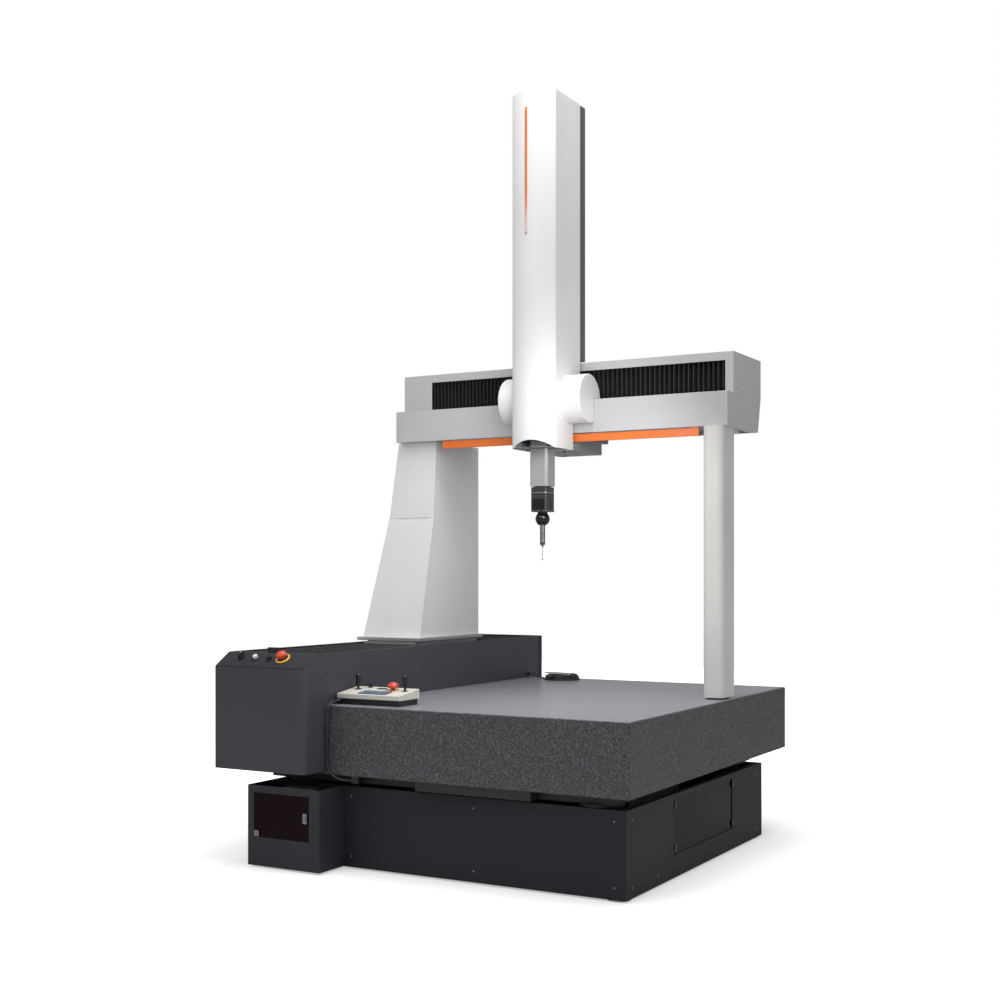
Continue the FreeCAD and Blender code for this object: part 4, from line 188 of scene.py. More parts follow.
def powder_coat(name, colour, roughness, texture, depth, shine=0.5):
    """Powder coat baked on sheet steel: an orange-peel skin that breaks up highlights softly."""
    material, tree, shader, place = new_material(name, colour, roughness, ior=1.5,
                                                 specular_ior_level=shine)
    # The skin's cells are about 0.8 mm wide; drawn coarser so that they show.
    peel = grain(tree, place, texture)
    cloud = grain(tree, place, 0.35, 1.0)
    tint(tree, shader, cloud.outputs["Fac"], shade(colour, 0.955), shade(colour, 1.03))
    span_to(tree, shader, "Roughness", peel.outputs["Fac"], roughness - 0.06, roughness + 0.06)
    relief(tree, shader, peel.outputs["Fac"], depth)
    return material


def enamel(name, colour):
    """Stoved enamel: smooth and a little glossy, so that it catches a soft line of light."""
    material, tree, shader, place = new_material(name, colour, 0.36, ior=1.5)
    peel = grain(tree, place, 0.004)
    tint(tree, shader, grain(tree, place, 0.12).outputs["Fac"], shade(colour, 0.95), colour)
    relief(tree, shader, peel.outputs["Fac"], 0.00004)
    return material


def lapped_granite():
    """Black granite: sawn sides with coarse grey crystals, and a smoother lapped top whose paler colour is
    painted light from above.
    """
    base = tuple(colours().granite)
    material, tree, shader, place = new_material("granite_sawn_and_lapped_painted_top_light", base, 0.5, ior=1.55)
    # Crystals are 1 to 3 mm wide.
    crystals = add(tree, "ShaderNodeTexVoronoi", {"Vector": place, "Scale": 1 / 0.0026})
    bright = add(tree, "ShaderNodeSeparateColor", {"Color": crystals.outputs["Color"]})
    fine = grain(tree, place, 0.0016, 3.0)
    mixed = add(tree, "ShaderNodeMath", {0: bright.outputs["Red"], 1: fine.outputs["Fac"]},
                operation="MULTIPLY")
    sides = add(tree, "ShaderNodeValToRGB", {"Fac": mixed.outputs["Value"]})
    sides.color_ramp.elements[0].position = 0.05
    sides.color_ramp.elements[0].color = (*shade(base, 0.55), 1)
    sides.color_ramp.elements[1].position = 0.6
    sides.color_ramp.elements[1].color = (*to_linear("85878C"), 1)
    middle = sides.color_ramp.elements.new(0.36)
    middle.color = (*shade(base, 0.95), 1)
    # The upward faces get paler crystals: painted light falling on the top.
    top = add(tree, "ShaderNodeValToRGB", {"Fac": mixed.outputs["Value"]})
    top.color_ramp.elements[0].color = (*to_linear("7F8187"), 1)
    top.color_ramp.elements[1].color = (*to_linear("A4A7AE"), 1)
    up = add(tree, "ShaderNodeSeparateXYZ", {"Vector": add(tree, "ShaderNodeTexCoord").outputs["Normal"]})
    facing = add(tree, "ShaderNodeMapRange",
                 {"Value": up.outputs["Z"], "From Min": 0.6, "From Max": 0.95})
    both = add(tree, "ShaderNodeMix", {"Factor": facing.outputs["Result"]}, data_type="RGBA")
    tree.links.new(sides.outputs["Color"], both.inputs["A"])
    tree.links.new(top.outputs["Color"], both.inputs["B"])
    tree.links.new(both.outputs["Result"], shader.inputs["Base Color"])
    span_to(tree, shader, "Roughness", facing.outputs["Result"], 0.62, 0.3)
    relief(tree, shader, mixed.outputs["Value"], 0.0002, 0.35)
    return material


def brushed_metal(name, colour, roughness, along, line=0.0012):
    """Ground or brushed metal: fine lines along one direction that draw a highlight out."""
    material, tree, shader, place = new_material(name, colour, roughness, 1.0)
    stretch = [1 / line] * 3
    stretch["XYZ".index(along)] = 1 / (line * 60)
    lines = add(tree, "ShaderNodeMapping", {"Vector": place, "Scale": stretch})
    strokes = add(tree, "ShaderNodeTexNoise", {"Vector": lines.outputs["Vector"], "Scale": 1.0})
    tint(tree, shader, strokes.outputs["Fac"], shade(colour, 0.9), shade(colour, 1.05))
    span_to(tree, shader, "Roughness", strokes.outputs["Fac"], roughness - 0.07, roughness + 0.09)
    relief(tree, shader, strokes.outputs["Fac"], 0.00003)
    return material


def hard_anodised():
    """Hard-anodised aluminium of the ram: an even satin grey with faint lengthwise lines."""
    colour = to_linear("B6B7B7")
    material, tree, shader, place = new_material("ram_hard_anodised", colour, 0.42, 0.55)
    lines = add(tree, "ShaderNodeMapping", {"Vector": place, "Scale": (700, 700, 9)})
    strokes = add(tree, "ShaderNodeTexNoise", {"Vector": lines.outputs["Vector"], "Scale": 1.0})
    tint(tree, shader, strokes.outputs["Fac"], shade(colour, 0.94), shade(colour, 1.03))
    span_to(tree, shader, "Roughness", strokes.outputs["Fac"], 0.36, 0.48)
    return material


def machined_casting(name, colour):
    """Machined cast aluminium: dull, with rows of milling marks 6 mm apart."""
    material, tree, shader, place = new_material(name, colour, 0.5, 0.9)
    marks = add(tree, "ShaderNodeTexWave", {"Vector": place, "Scale": 26.0, "Distortion": 1.2},
                bands_direction="DIAGONAL")
    tint(tree, shader, grain(tree, place, 0.02).outputs["Fac"], shade(colour, 0.85), colour)
    relief(tree, shader, marks.outputs["Fac"], 0.00006)
    return material


def tinted_acrylic():
    """Cast acrylic in smoked red-brown: glossy, and what is behind shows faintly."""
    material, tree, shader, place = new_material("window_tinted_acrylic", to_linear("1E1012"), 0.14,
                                                 ior=1.3, alpha=0.97, specular_ior_level=0.1)
    # Handling leaves a faint haze in patches of about 6 cm.
    haze = grain(tree, place, 0.06)
    span_to(tree, shader, "Roughness", haze.outputs["Fac"], 0.08, 0.2)
    return material


def rubber(name, colour, roughness=0.7):
    """Moulded rubber or soft sheath: dull, with a soft bloom of dust."""
    material, tree, shader, place = new_material(name, colour, roughness, ior=1.52, sheen_weight=0.08)
    bloom = grain(tree, place, 0.008)
    tint(tree, shader, bloom.outputs["Fac"], shade(colour, 0.8), shade(colour, 1.35))
    relief(tree, shader, bloom.outputs["Fac"], 0.00008)
    return material


def coated_cloth():
    """Polyurethane-coated cloth of the bellows: near black, with a weave of 0.8 mm."""
    colour = to_linear("17171A")
    material, tree, shader, place = new_material("bellows_coated_cloth", colour, 0.55, ior=1.5,
                                                 sheen_weight=0.15, sheen_roughness=0.4)
    weave = add(tree, "ShaderNodeTexChecker", {"Vector": place, "Scale": 1250.0})
    tint(tree, shader, grain(tree, place, 0.03).outputs["Fac"], shade(colour, 0.7), shade(colour, 1.5))
    relief(tree, shader, weave.outputs["Fac"], 0.00005, 0.6)
    return material


def ridge_highlight():
    """The welded edge of each pleat: its grey line is painted highlight where the light catches the ridge.
    """
    colour = to_linear("B4B5B9")
    material, tree, shader, place = new_material("bellows_ridge_painted_highlight", colour, 0.38, ior=1.5)
    tint(tree, shader, grain(tree, place, 0.012).outputs["Fac"], shade(colour, 0.7), shade(colour, 1.1))
    return material


def moulded(name, colour, roughness, texture=0.0011, depth=0.00004, **shader_values):
    """Moulded ABS or nylon: a fine spark-eroded texture from the tool."""
    material, tree, shader, place = new_material(name, colour, roughness, ior=1.53, **shader_values)
    pits = grain(tree, place, texture)
    tint(tree, shader, grain(tree, place, 0.05).outputs["Fac"], shade(colour, 0.94), colour)
    relief(tree, shader, pits.outputs["Fac"], depth)
    span_to(tree, shader, "Roughness", pits.outputs["Fac"], roughness - 0.05, roughness + 0.05)
    return material


def stylus_steel():
    """Ground steel of the stylus, and the polished ruby ball at its end."""
    material, tree, shader, place = new_material("stylus_steel_and_ruby", to_linear("B9BABC"), 0.25, 1.0)
    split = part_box("stylus")[0].z + 5.2 * MM
    height = add(tree, "ShaderNodeSeparateXYZ", {"Vector": place})
    over = add(tree, "ShaderNodeMath", {0: height.outputs["Z"], 1: split}, operation="GREATER_THAN")
    tint(tree, shader, over.outputs["Value"], to_linear("9E1128"), to_linear("B9BABC"), 0.1, 0.9)
    tree.links.new(over.outputs["Value"], shader.inputs["Metallic"])
    return material


def fading_stripe():
    """Screen-printed stripe whose ink thins out downwards until the paint is bare."""
    accent, cover = tuple(colours().accent), tuple(colours().covers)
    material, tree, shader, place = new_material("stripe_printed_ink", accent, 0.4, ior=1.5)
    height = add(tree, "ShaderNodeSeparateXYZ", {"Vector": place})
    fade = add(tree, "ShaderNodeMapRange", {"Value": height.outputs["Z"], "From Min": STRIPE_Z[0],
                                            "From Max": STRIPE_Z[0] + 0.26})
    # The print's dots are about 1.5 mm.
    dots = add(tree, "ShaderNodeTexNoise", {"Vector": place, "Scale": 650.0, "Detail": 0.0})
    ink = add(tree, "ShaderNodeMath", {0: fade.outputs["Result"], 1: dots.outputs["Fac"]},
              operation="ADD")
    tint(tree, shader, ink.outputs["Value"], cover, accent, 0.52, 0.95)
    return material


MATERIALS = {}


def make_materials():
    """All finishes by name, made once."""
    tone = colours()
    MATERIALS.update({
        "light_coat": powder_coat("covers_light_powder_coat", tuple(tone.covers), 0.42, 0.0026, 0.00005),
        # The right leg: the light covers' paint, darker and warmer, as painted shade on its side.
        "right_leg_shaded_coat": powder_coat("right_leg_shaded_powder_coat", to_linear("D6D4D1"), 0.42, 0.0026,
                                0.00005),
        "beam_coat": powder_coat("beam_grey_powder_coat", tuple(tone.beam), 0.45, 0.0026, 0.00005),
        "dark_coat": powder_coat("housing_textured_powder_coat", tuple(tone.housing), 0.5, 0.0018,
                                 0.00012, 0.2),
        # The housing's inner cover: the dark covers' paint made paler and shinier, as painted reflection
        # of light at a grazing angle.
        "inner_reflection_coat": powder_coat("inner_cover_powder_coat_painted_reflection", to_linear("43434A"), 0.45, 0.0018,
                                  0.00012, 0.3),
        # The stand: the dark covers' paint darkened, as painted shade of the lower light there.
        "stand_shaded_coat": powder_coat("stand_shaded_powder_coat", tuple(tone.stand), 0.55, 0.0018,
                                  0.00012, 0.15),
        "frame_coat": powder_coat("stand_black_paint", to_linear("202124"), 0.6, 0.003, 0.0001),
        "case_coat": powder_coat("case_grey_powder_coat", to_linear("6E7074"), 0.5, 0.002, 0.0001),
        "under_coat": powder_coat("under_box_grey_paint", to_linear("8E8E93"), 0.5, 0.002, 0.00008),
        # The plate under the Z cover: grey darker than the covers, as painted shade under the cover.
        "shaded_under_plate": powder_coat("base_plate_shaded_grey_paint", to_linear("77787B"), 0.5, 0.002, 0.00008),
        "accent": enamel("guard_strip_enamel", tuple(tone.accent)),
        "granite": lapped_granite(),
        "ground_steel": brushed_metal("fittings_ground_steel", to_linear("B4B5B8"), 0.3, "X"),
        "dull_steel": brushed_metal("bracket_zinc_plated_steel", to_linear("8D8E90"), 0.45, "X"),
        "anodised": brushed_metal("plates_anodised_aluminium", to_linear("DADBDD"), 0.38, "Y"),
        "casting": machined_casting("castings_machined_aluminium", to_linear("8E9093")),
        # The ram guide: the machined casting in a darker grey, as painted shade under the Z cover.
        "shaded_casting": machined_casting("ram_guide_shaded_casting", to_linear("55565A")),
        "ram": hard_anodised(),
        "window": tinted_acrylic(),
        "rubber": rubber("air_spring_rubber", to_linear("19191B")),
        "sheath": rubber("cable_pvc_sheath", to_linear("2A2B2E"), 0.45),
        "cloth": coated_cloth(),
        # The bellows' ridges: a grey line of painted highlight.
        "weld": ridge_highlight(),
        "black_plastic": moulded("switches_black_nylon", to_linear("1B1B1D"), 0.42),
        "duct_plastic": moulded("duct_dark_grey_abs", to_linear("55565A"), 0.5, 0.0016),
        "gloss_black": moulded("head_ball_polished_black", to_linear("0E0E10"), 0.12, 0.02, 0.00001),
        "head_shell": moulded("probe_head_black_anodised", to_linear("2E2E31"), 0.36),
        "pendant": moulded("pendant_cover_abs", tuple(tone.pendant), 0.45),
        "keys": moulded("keypad_membrane", to_linear("3E4147"), 0.4),
        "key_blue": moulded("keypad_key_blue_grey", to_linear("7F8EA6"), 0.4),
        "key_white": moulded("keypad_key_white", to_linear("E9E9E6"), 0.4),
        "stop_red": moulded("stop_head_red_abs", tuple(tone.stop), 0.3),
        "stop_yellow": moulded("stop_ring_yellow_abs", to_linear("F0B840"), 0.4),
        # The leg cover's fold: white enamel as painted highlight.
        "painted_fold_highlight": enamel("fold_painted_highlight", to_linear("F2F2F2")),
        "button_white": moulded("start_button_white", to_linear("F0F0EE"), 0.3),
        "brass": brushed_metal("gimbal_turned_brass", to_linear("C9A45A"), 0.3, "Z"),
        "filter_bowl": moulded("filter_bowl_polycarbonate", to_linear("B9B4A6"), 0.15),
        "filter_red": moulded("filter_valve_red", to_linear("C8402A"), 0.35),
        "stylus": stylus_steel(),
        "stripe": fading_stripe(),
    })


def finish(target, *names):
    """Puts finishes in an object's material slots."""
    target.data.materials.clear()
    for name in names:
        target.data.materials.append(MATERIALS[name])


# ---------------------------------------------------------------- mesh helpers

def frame_at(place, up, along=None):
    """A matrix at a place, with its Z along up and its X as near to along as can be."""
    up = Vector(up).normalized()
    along = Vector(along) if along is not None else (X if abs(up.x) < 0.9 else Y)
    along = (along - up * along.dot(up)).normalized()
    side = up.cross(along)
    turn = Matrix((along, side, up)).transposed().to_4x4()
    return Matrix.Translation(Vector(place)) @ turn


def ring(mesh, points):
    return [mesh.verts.new(point) for point in points]


def bridge_rings(mesh, rings, closed=True, slot=0):
    """Faces between rows of points that match one for one."""
    for first, second in zip(rings, rings[1:]):
        count = len(first)
        for i in range(count if closed else count - 1):
            j = (i + 1) % count
            face = mesh.faces.new((first[i], first[j], second[j], second[i]))
            face.material_index = slot


def lathe(mesh, profile, matrix, steps=32, slot=0, hexed=()):
    """Turns a profile of (radius, height) about the matrix's Z. Points named in hexed follow a hexagon."""
    rows = []
    for index, (radius, height) in enumerate(profile):
        if radius < 1e-7:
            rows.append([mesh.verts.new(matrix @ Vector((0, 0, height)))])
            continue
        row = []
        for step in range(steps):
            angle = 2 * math.pi * step / steps
            reach = radius
            if index in hexed:
                reach = radius / math.cos((angle + math.pi / 6) % (math.pi / 3) - math.pi / 6)
            row.append(mesh.verts.new(matrix @ Vector((reach * math.cos(angle),
                                                       reach * math.sin(angle), height))))
        rows.append(row)
    for first, second in zip(rows, rows[1:]):
        if len(first) == 1 and len(second) == 1:
            continue
        for i in range(steps):
            j = (i + 1) % steps
            corners = ([first[0]] if len(first) == 1 else [first[i], first[j]]) + \
                      ([second[0]] if len(second) == 1 else [second[j], second[i]])
            face = mesh.faces.new(corners)
            face.smooth = True
            face.material_index = slot


def rounded(width, depth, radius, steps=4):
    """A rounded rectangle's points about the origin."""
    points = []
    for cx, cy, start in ((1, 1, 0), (-1, 1, 90), (-1, -1, 180), (1, -1, 270)):
        for step in range(steps + 1):
            angle = math.radians(start + 90 * step / steps)
            points.append(Vector((cx * (width / 2 - radius) + radius * math.cos(angle),
                                  cy * (depth / 2 - radius) + radius * math.sin(angle), 0)))
    return points


def plate(mesh, width, depth, height, radius, matrix, edge=0.0004, slot=0):
    """A plate with rounded corners and a softened upper edge, standing on the matrix's XY plane."""
    low = rounded(width, depth, radius)
    inner = rounded(width - 2 * edge, depth - 2 * edge, max(radius - edge, radius * 0.3))
    rows = [ring(mesh, [matrix @ p for p in low]),
            ring(mesh, [matrix @ (p + Z * (height - edge)) for p in low]),
            ring(mesh, [matrix @ (p + Z * height) for p in inner])]
    bridge_rings(mesh, rows, slot=slot)
    mesh.faces.new(rows[-1]).material_index = slot
    mesh.faces.new(list(reversed(rows[0]))).material_index = slot


def band(mesh, outline, inward, heights, matrix):
    """A closed band that follows an outline: its outer line, and how far its wall goes inward."""
    low, high = heights
    centre = sum(outline, Vector()) / len(outline)
    inside = [p - (p - centre).normalized() * inward for p in outline]
    rows = [ring(mesh, [matrix @ (p + Z * low) for p in inside]),
            ring(mesh, [matrix @ (p + Z * low) for p in outline]),
            ring(mesh, [matrix @ (p + Z * high) for p in outline]),
            ring(mesh, [matrix @ (p + Z * high) for p in inside])]
    bridge_rings(mesh, rows + [rows[0]])


def finish_piece(name, mesh, body, names, bevel=0.0, smooth=35):
    """Turns a mesh in work into a piece that rides on a body."""
    bmesh.ops.recalc_face_normals(mesh, faces=mesh.faces)
    data = bpy.data.meshes.new(name)
    mesh.to_mesh(data)
    mesh.free()
    piece = bpy.data.objects.new(name, data)
    bpy.context.scene.collection.objects.link(piece)
    finish(piece, *names)
    data.shade_smooth()
    data.set_sharp_from_angle(angle=math.radians(smooth))
    if bevel:
        soften(piece, bevel, smooth)
    if body:
        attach(piece, body)
    return piece


def soften(piece, width, angle=35, weld=False):
    """Rounds a piece's sharp edges, so that they catch a line of light."""
    if weld:
        joined = piece.modifiers.new("weld", "WELD")
        joined.merge_threshold = 0.00002
    rounding = piece.modifiers.new("edges", "BEVEL")
    rounding.width = width
    rounding.segments = 2
    rounding.limit_method = "ANGLE"
    rounding.angle_limit = math.radians(angle)
    rounding.use_clamp_overlap = True
    rounding.harden_normals = False


# ---------------------------------------------------------------- CAD nodes

# The CAD nodes that have each finish.
FINISHES = {
    "ground_steel": ("levelling_feet", "counterbalance"),
    "frame_coat": ("stand_frame", "carrier_beams"),
    "stand_shaded_coat": ("stand_covers",),
    "dark_coat": ("service_box", "housing_outer_covers", "control_panel"),
    "window": ("tinted_windows",),
    "filter_bowl": ("air_filters",),
    "case_coat": ("motion_controller", "drive_motors"),
    "rubber": ("air_springs",),
    "granite": ("granite_table", "y_guide_bar"),
    "inner_reflection_coat": ("housing_inner_cover",),
    "black_plastic": ("switch_bezels", "selector_knob", "reset_button", "right_air_pad",
        "pendant_base", "speed_knob", "left_joystick", "right_joystick", "cable_fittings"),
    "button_white": ("start_button",),
    "stop_red": ("emergency_stop", "pendant_stop"),
    "casting": ("y_carriage", "left_leg_column", "beam_bar", "x_carriage"),
    "anodised": ("leg_base",),
    "light_coat": ("left_leg_cover", "z_front_cover", "z_rear_cover", "hub_covers"),
    "right_leg_shaded_coat": ("right_leg",),
    "beam_coat": ("beam_front_cover", "beam_top_cover", "beam_end_caps"),
    "accent": ("guard_strip",),
    "under_coat": ("under_box",),
    "duct_plastic": ("z_rear_duct",),
    "shaded_casting": ("ram_guide",),
    "ram": ("ram",),
    "head_shell": ("probe_head",),
    "gloss_black": ("head_ball",),
    "dull_steel": ("touch_probe",),
    "stylus": ("stylus",),
    "pendant": ("pendant_cover",),
    "brass": ("left_joystick_ring", "right_joystick_ring"),
}
SHEETS = ("stand_covers", "service_box", "housing_inner_cover", "housing_outer_covers",
          "control_panel", "left_leg_cover", "beam_front_cover", "beam_top_cover", "beam_end_caps",
          "guard_strip", "under_box", "z_front_cover", "z_rear_cover", "leg_base", "carrier_beams",
          "granite_table", "ram", "pendant_cover", "pendant_base", "z_rear_duct")


class MACHINE_OT_finishes(bpy.types.Operator):
    """Give every CAD node its finish, and round the edges of its sheet covers"""
    bl_idname = "machine.finishes"
    bl_label = "Finishes"

    def execute(self, context):
        make_materials()
        for name, nodes in FINISHES.items():
            for node in nodes:
                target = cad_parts[node]
                finish(target, name)
                if node in SHEETS:
                    soften(target, sizes().edge, weld=True)
        return {"FINISHED"}


# ---------------------------------------------------------------- cords

# The routes are the same points as the solids' in the part's source.
CABLE_ROUTE = [(-338, -665, 556), (-339.5, -682, 555), (-341, -699, 553.5), (-343, -714.5, 545),
               (-344.5, -723.5, 529), (-346, -722, 500), (-349, -716, 455), (-354, -713, 402),
               (-357, -712, 362), (-351, -712, 333), (-335, -710, 312), (-310, -706, 300),
               (-284, -701, 297.5), (-262, -699, 297.5)]
LEAD_ROUTE = [(-349, 697, 557), (-338, 694, 556), (-327, 687, 553.5), (-314, 676, 551),
              (-299, 665, 549.5), (-284, 658, 548.5), (-270, 653.5, 547.5), (-259, 647, 546.5),
              (-252.5, 637, 546)]
COIL_CENTRE = (-176.0, 652.0)
CABLE_DIAMETER, LEAD_DIAMETER = 6.0, 5.0


def spline_curve(name, points):
    """A cord: one NURBS spline in metres whose control points are the route's points."""
    curve = bpy.data.curves.new(name, "CURVE")
    curve.dimensions = "3D"
    curve.resolution_u = 8
    line = curve.splines.new("NURBS")
    line.points.add(len(points) - 1)
    for point, place in zip(line.points, points):
        point.co = (*[part * MM for part in place], 1)
    line.order_u = 3
    line.use_endpoint_u = True
    cord = bpy.data.objects.new(name, curve)
    bpy.context.scene.collection.objects.link(cord)
    return cord


def line_points(cord):
    """Points along a cord's own spline."""
    bevel, cord.data.bevel_depth = cord.data.bevel_depth, 0
    data = bpy.data.meshes.new_from_object(cord)
    points = [vertex.co.copy() for vertex in data.vertices]
    bpy.data.meshes.remove(data)
    cord.data.bevel_depth = bevel
    return points


def line_length(points):
    return sum((b - a).length for a, b in zip(points, points[1:]))


def sweep(mesh, points, radii, steps=16):
    """A tube along points, with a radius at each."""
    rows = []
    side = Z
    for i, (point, radius) in enumerate(zip(points, radii)):
        ahead = (points[min(i + 1, len(points) - 1)] - points[max(i - 1, 0)]).normalized()
        side = (side - ahead * side.dot(ahead)).normalized()
        other = ahead.cross(side)
        rows.append(ring(mesh, [point + radius * (side * math.cos(2 * math.pi * s / steps)
                                                  + other * math.sin(2 * math.pi * s / steps))
                                for s in range(steps)]))
    bridge_rings(mesh, rows)
    mesh.faces.new(rows[0])
    mesh.faces.new(list(reversed(rows[-1])))


def boot(name, cord, reach, wide, narrow, body, ribs=5):
    """The tapered, ribbed strain relief over the first part of a cord."""
    points = line_points(cord)
    walked, taken = 0.0, [points[0]]
    for a, b in zip(points, points[1:]):
        walked += (b - a).length
        if walked > reach:
            break
        taken.append(b)
    dense = []
    for a, b in zip(taken, taken[1:]):
        dense += [a.lerp(b, share / 4) for share in range(4)]
    dense.append(taken[-1])
    radii = []
    for i in range(len(dense)):
        share = i / (len(dense) - 1)
        rib = 0.0004 * (1 if (share * ribs) % 1 < 0.55 else 0)
        radii.append(wide + (narrow - wide) * share + rib)
    mesh = bmesh.new()
    sweep(mesh, dense, radii)
    return finish_piece(name, mesh, body, ["rubber"])


class MACHINE_OT_pendant_cable(bpy.types.Operator):
    """Lay the pendant's cable over the table's edge and down to its socket"""
    bl_idname = "machine.pendant_cable"
    bl_label = "Pendant cable"

    def execute(self, context):
        cable = spline_curve("pendant_cable_flex", CABLE_ROUTE)
        real = line_length(line_points(cable))
        relief_boot = boot("pendant_cable_boot", cable, 0.022, 0.0052, 0.0037, "base")
        cable.data.bevel_depth = CABLE_DIAMETER / 2 * MM
        cable.data.bevel_resolution = 4
        finish(cable, "sheath")
        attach(cable, "base")
        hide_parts("pendant_cable")
        return {"FINISHED"}


def coil_points(turns):
    """The coil: turns side by side in a layer, inwards and outwards in turn, layer on layer."""
    pitch, rise, per_turn = LEAD_DIAMETER + 0.6, LEAD_DIAMETER + 0.4, 16
    layers = [3, 2, 2, 1]
    points = []
    angle, radius, height, inward = 196.0, 75.0, 545.6, -1
    done = 0
    for index, count in enumerate(layers):
        count = min(count, turns - done)
        if count <= 0:
            break
        done += count
        for step in range(count * per_turn - 4):
            sway = 0.9 * noise.noise((math.radians(angle) * 0.7, index * 3.1, 0.5))
            slump = 0.7 * math.sin(math.radians(angle * 2 + index * 40)) if index else 0.0
            reach = radius + sway
            points.append((COIL_CENTRE[0] + reach * math.cos(math.radians(angle)),
                           COIL_CENTRE[1] + reach * math.sin(math.radians(angle)),
                           height + slump))
            angle += 360 / per_turn
            radius += inward * pitch / per_turn
        inward = -inward
        for step in range(4):
            share = (step + 1) / 4
            points.append((COIL_CENTRE[0] + radius * math.cos(math.radians(angle)),
                           COIL_CENTRE[1] + radius * math.sin(math.radians(angle)),
                           height + rise * share))
            angle += 360 / per_turn
        height += rise
    return points


class MACHINE_OT_sensor_lead(bpy.types.Operator):
    """Lay the temperature sensor's lead in its coil on the table, with its tie and its tip"""
    bl_idname = "machine.sensor_lead"
    bl_label = "Sensor lead"

    def execute(self, context):
        lead = spline_curve("sensor_lead_flex", LEAD_ROUTE + coil_points(sizes().coil_turns))
        points = line_points(lead)
        lead.data.bevel_depth = LEAD_DIAMETER / 2 * MM
        lead.data.bevel_resolution = 3
        finish(lead, "sheath")
        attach(lead, "base")
        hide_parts("sensor_lead", "sensor_coil")
        mesh = bmesh.new()
        ahead = (points[-1] - points[-2]).normalized()
        lathe(mesh, [(0, -2 * MM), (2.4 * MM, -2 * MM), (2.7 * MM, 0), (2.7 * MM, 9 * MM),
                     (2.2 * MM, 10 * MM), (2.2 * MM, 24 * MM), (1.4 * MM, 26 * MM), (0, 26.5 * MM)],
              frame_at(points[-1], ahead), 20)
        tip = finish_piece("sensor_tip", mesh, "base", ["ground_steel"])
        for name, angle in (("coil_tie_front", 262), ("coil_tie_back", 75)):
            self.tie(name, angle)
        return {"FINISHED"}

    def tie(self, name, angle):
        """A hook-and-loop tie round the coil's turns."""
        mesh = bmesh.new()
        turn = math.radians(angle)
        out = Vector((math.cos(turn), math.sin(turn), 0))
        centre = Vector((*COIL_CENTRE, 0)) * MM + out * 0.0655 + Z * 0.5538
        matrix = frame_at(centre, out.cross(Z), out)
        outline = rounded(27.6 * MM, 21.4 * MM, 6 * MM, 5)
        band(mesh, outline, 0.9 * MM, (-4 * MM, 4 * MM), matrix)
        return finish_piece(name, mesh, "base", ["cloth"])


# ---------------------------------------------------------------- bellows

def pleated(name, start, end, across, out, wide, depth, pleats):
    """Pleated cloth from start to end: across its width, folded out by its depth, its welded ridges given
    a grey line of painted highlight.
    """
    mesh = bmesh.new()
    along = (end - start) / pleats
    step = along.length
    unit = along.normalized()
    ridge, valley = min(0.0016, step * 0.17), min(0.0008, step * 0.08)
    rows, ridge_highlights = [], []
    for pleat in range(pleats):
        root = start + along * pleat
        for place, rise, weld in ((valley, 0.0, False), (step / 2 - ridge, 1.0, True),
                                  (step / 2 + ridge, 1.0, False), (step - valley, 0.0, False)):
            spot = root + unit * place + out * depth * rise
            rows.append(ring(mesh, [spot + across * wide * (share / 6 - 0.5) for share in range(7)]))
            ridge_highlights.append(weld)
    for index, (first, second) in enumerate(zip(rows, rows[1:])):
        for i in range(6):
            face = mesh.faces.new((first[i], first[i + 1], second[i + 1], second[i]))
            # The ridges' faces take the second slot, the painted highlight.
            face.material_index = 1 if ridge_highlights[index] else 0
    piece = finish_piece(name, mesh, None, ["cloth", "weld"], smooth=30)
    skin = piece.modifiers.new("cloth", "SOLIDIFY")
    skin.thickness = sizes().cloth
    skin.offset = -1
    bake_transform(piece)
    return piece


class MACHINE_OT_x_bellows(bpy.types.Operator):
    """Hang the pleated bellows on both sides of the carriage, along the beam"""
    bl_idname = "machine.x_bellows"
    bl_label = "X bellows"

    def execute(self, context):
        for side, node in (("left", "x_bellows_left"), ("right", "x_bellows_right")):
            low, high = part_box(node)
            middle = (low.z + high.z) / 2
            start, end = Vector((low.x, high.y, middle)), Vector((high.x, high.y, middle))
            piece = pleated(f"x_pleats_{side}", start, end, Z, -Y, high.z - low.z - 0.001,
                            (high.y - low.y) * 0.93, sizes().x_pleats)
            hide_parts(node)
        return {"FINISHED"}


class MACHINE_OT_y_bellows(bpy.types.Operator):
    """Lay the pleated bellows over the guide, in front of and behind the leg"""
    bl_idname = "machine.y_bellows"
    bl_label = "Y bellows"

    def execute(self, context):
        for side, node in (("front", "y_bellows_front"), ("rear", "y_bellows_rear")):
            low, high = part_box(node)
            middle = (low.x + high.x) / 2
            start, end = Vector((middle, low.y, low.z)), Vector((middle, high.y, low.z))
            pleats = sizes().front_pleats if side == "front" else sizes().rear_pleats
            piece = pleated(f"y_pleats_{side}", start, end, X, Z, high.x - low.x - 0.001,
                            (high.z - low.z) * 0.95, pleats)
            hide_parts(node)
        return {"FINISHED"}


# ---------------------------------------------------------------- covers' fittings

def pan_screw(mesh, place, out, radius, slot=0):
    """A pan head with a hexagon socket, standing on a face."""
    height = radius * 0.62
    lathe(mesh, [(0, height * 0.35), (radius * 0.4, height * 0.35), (radius * 0.4, height * 0.92),
                 (radius * 0.55, height), (radius * 0.8, height * 0.82), (radius * 0.97, height * 0.4),
                 (radius, 0), (0, 0)], frame_at(place, out), 24, slot, hexed=(1, 2))


def screws(name, places, out, body, radius, material, slot):
    """A group of screws on one face."""
    mesh = bmesh.new()
    for place in places:
        pan_screw(mesh, place, out, radius * MM)
    return finish_piece(name, mesh, body, [material])


def grid(first, second):
    return [(a, b) for a in first for b in second]


STEEL, DULL, BLACK = (("ground_steel", "bright_steel"), ("dull_steel", "bright_steel"),
                      ("black_plastic", "black_plastic"))
CAP_SCREWS = [(0.207, 1.632), (0.145, 1.506), (0.410, 1.7137), (0.405, 1.560)]
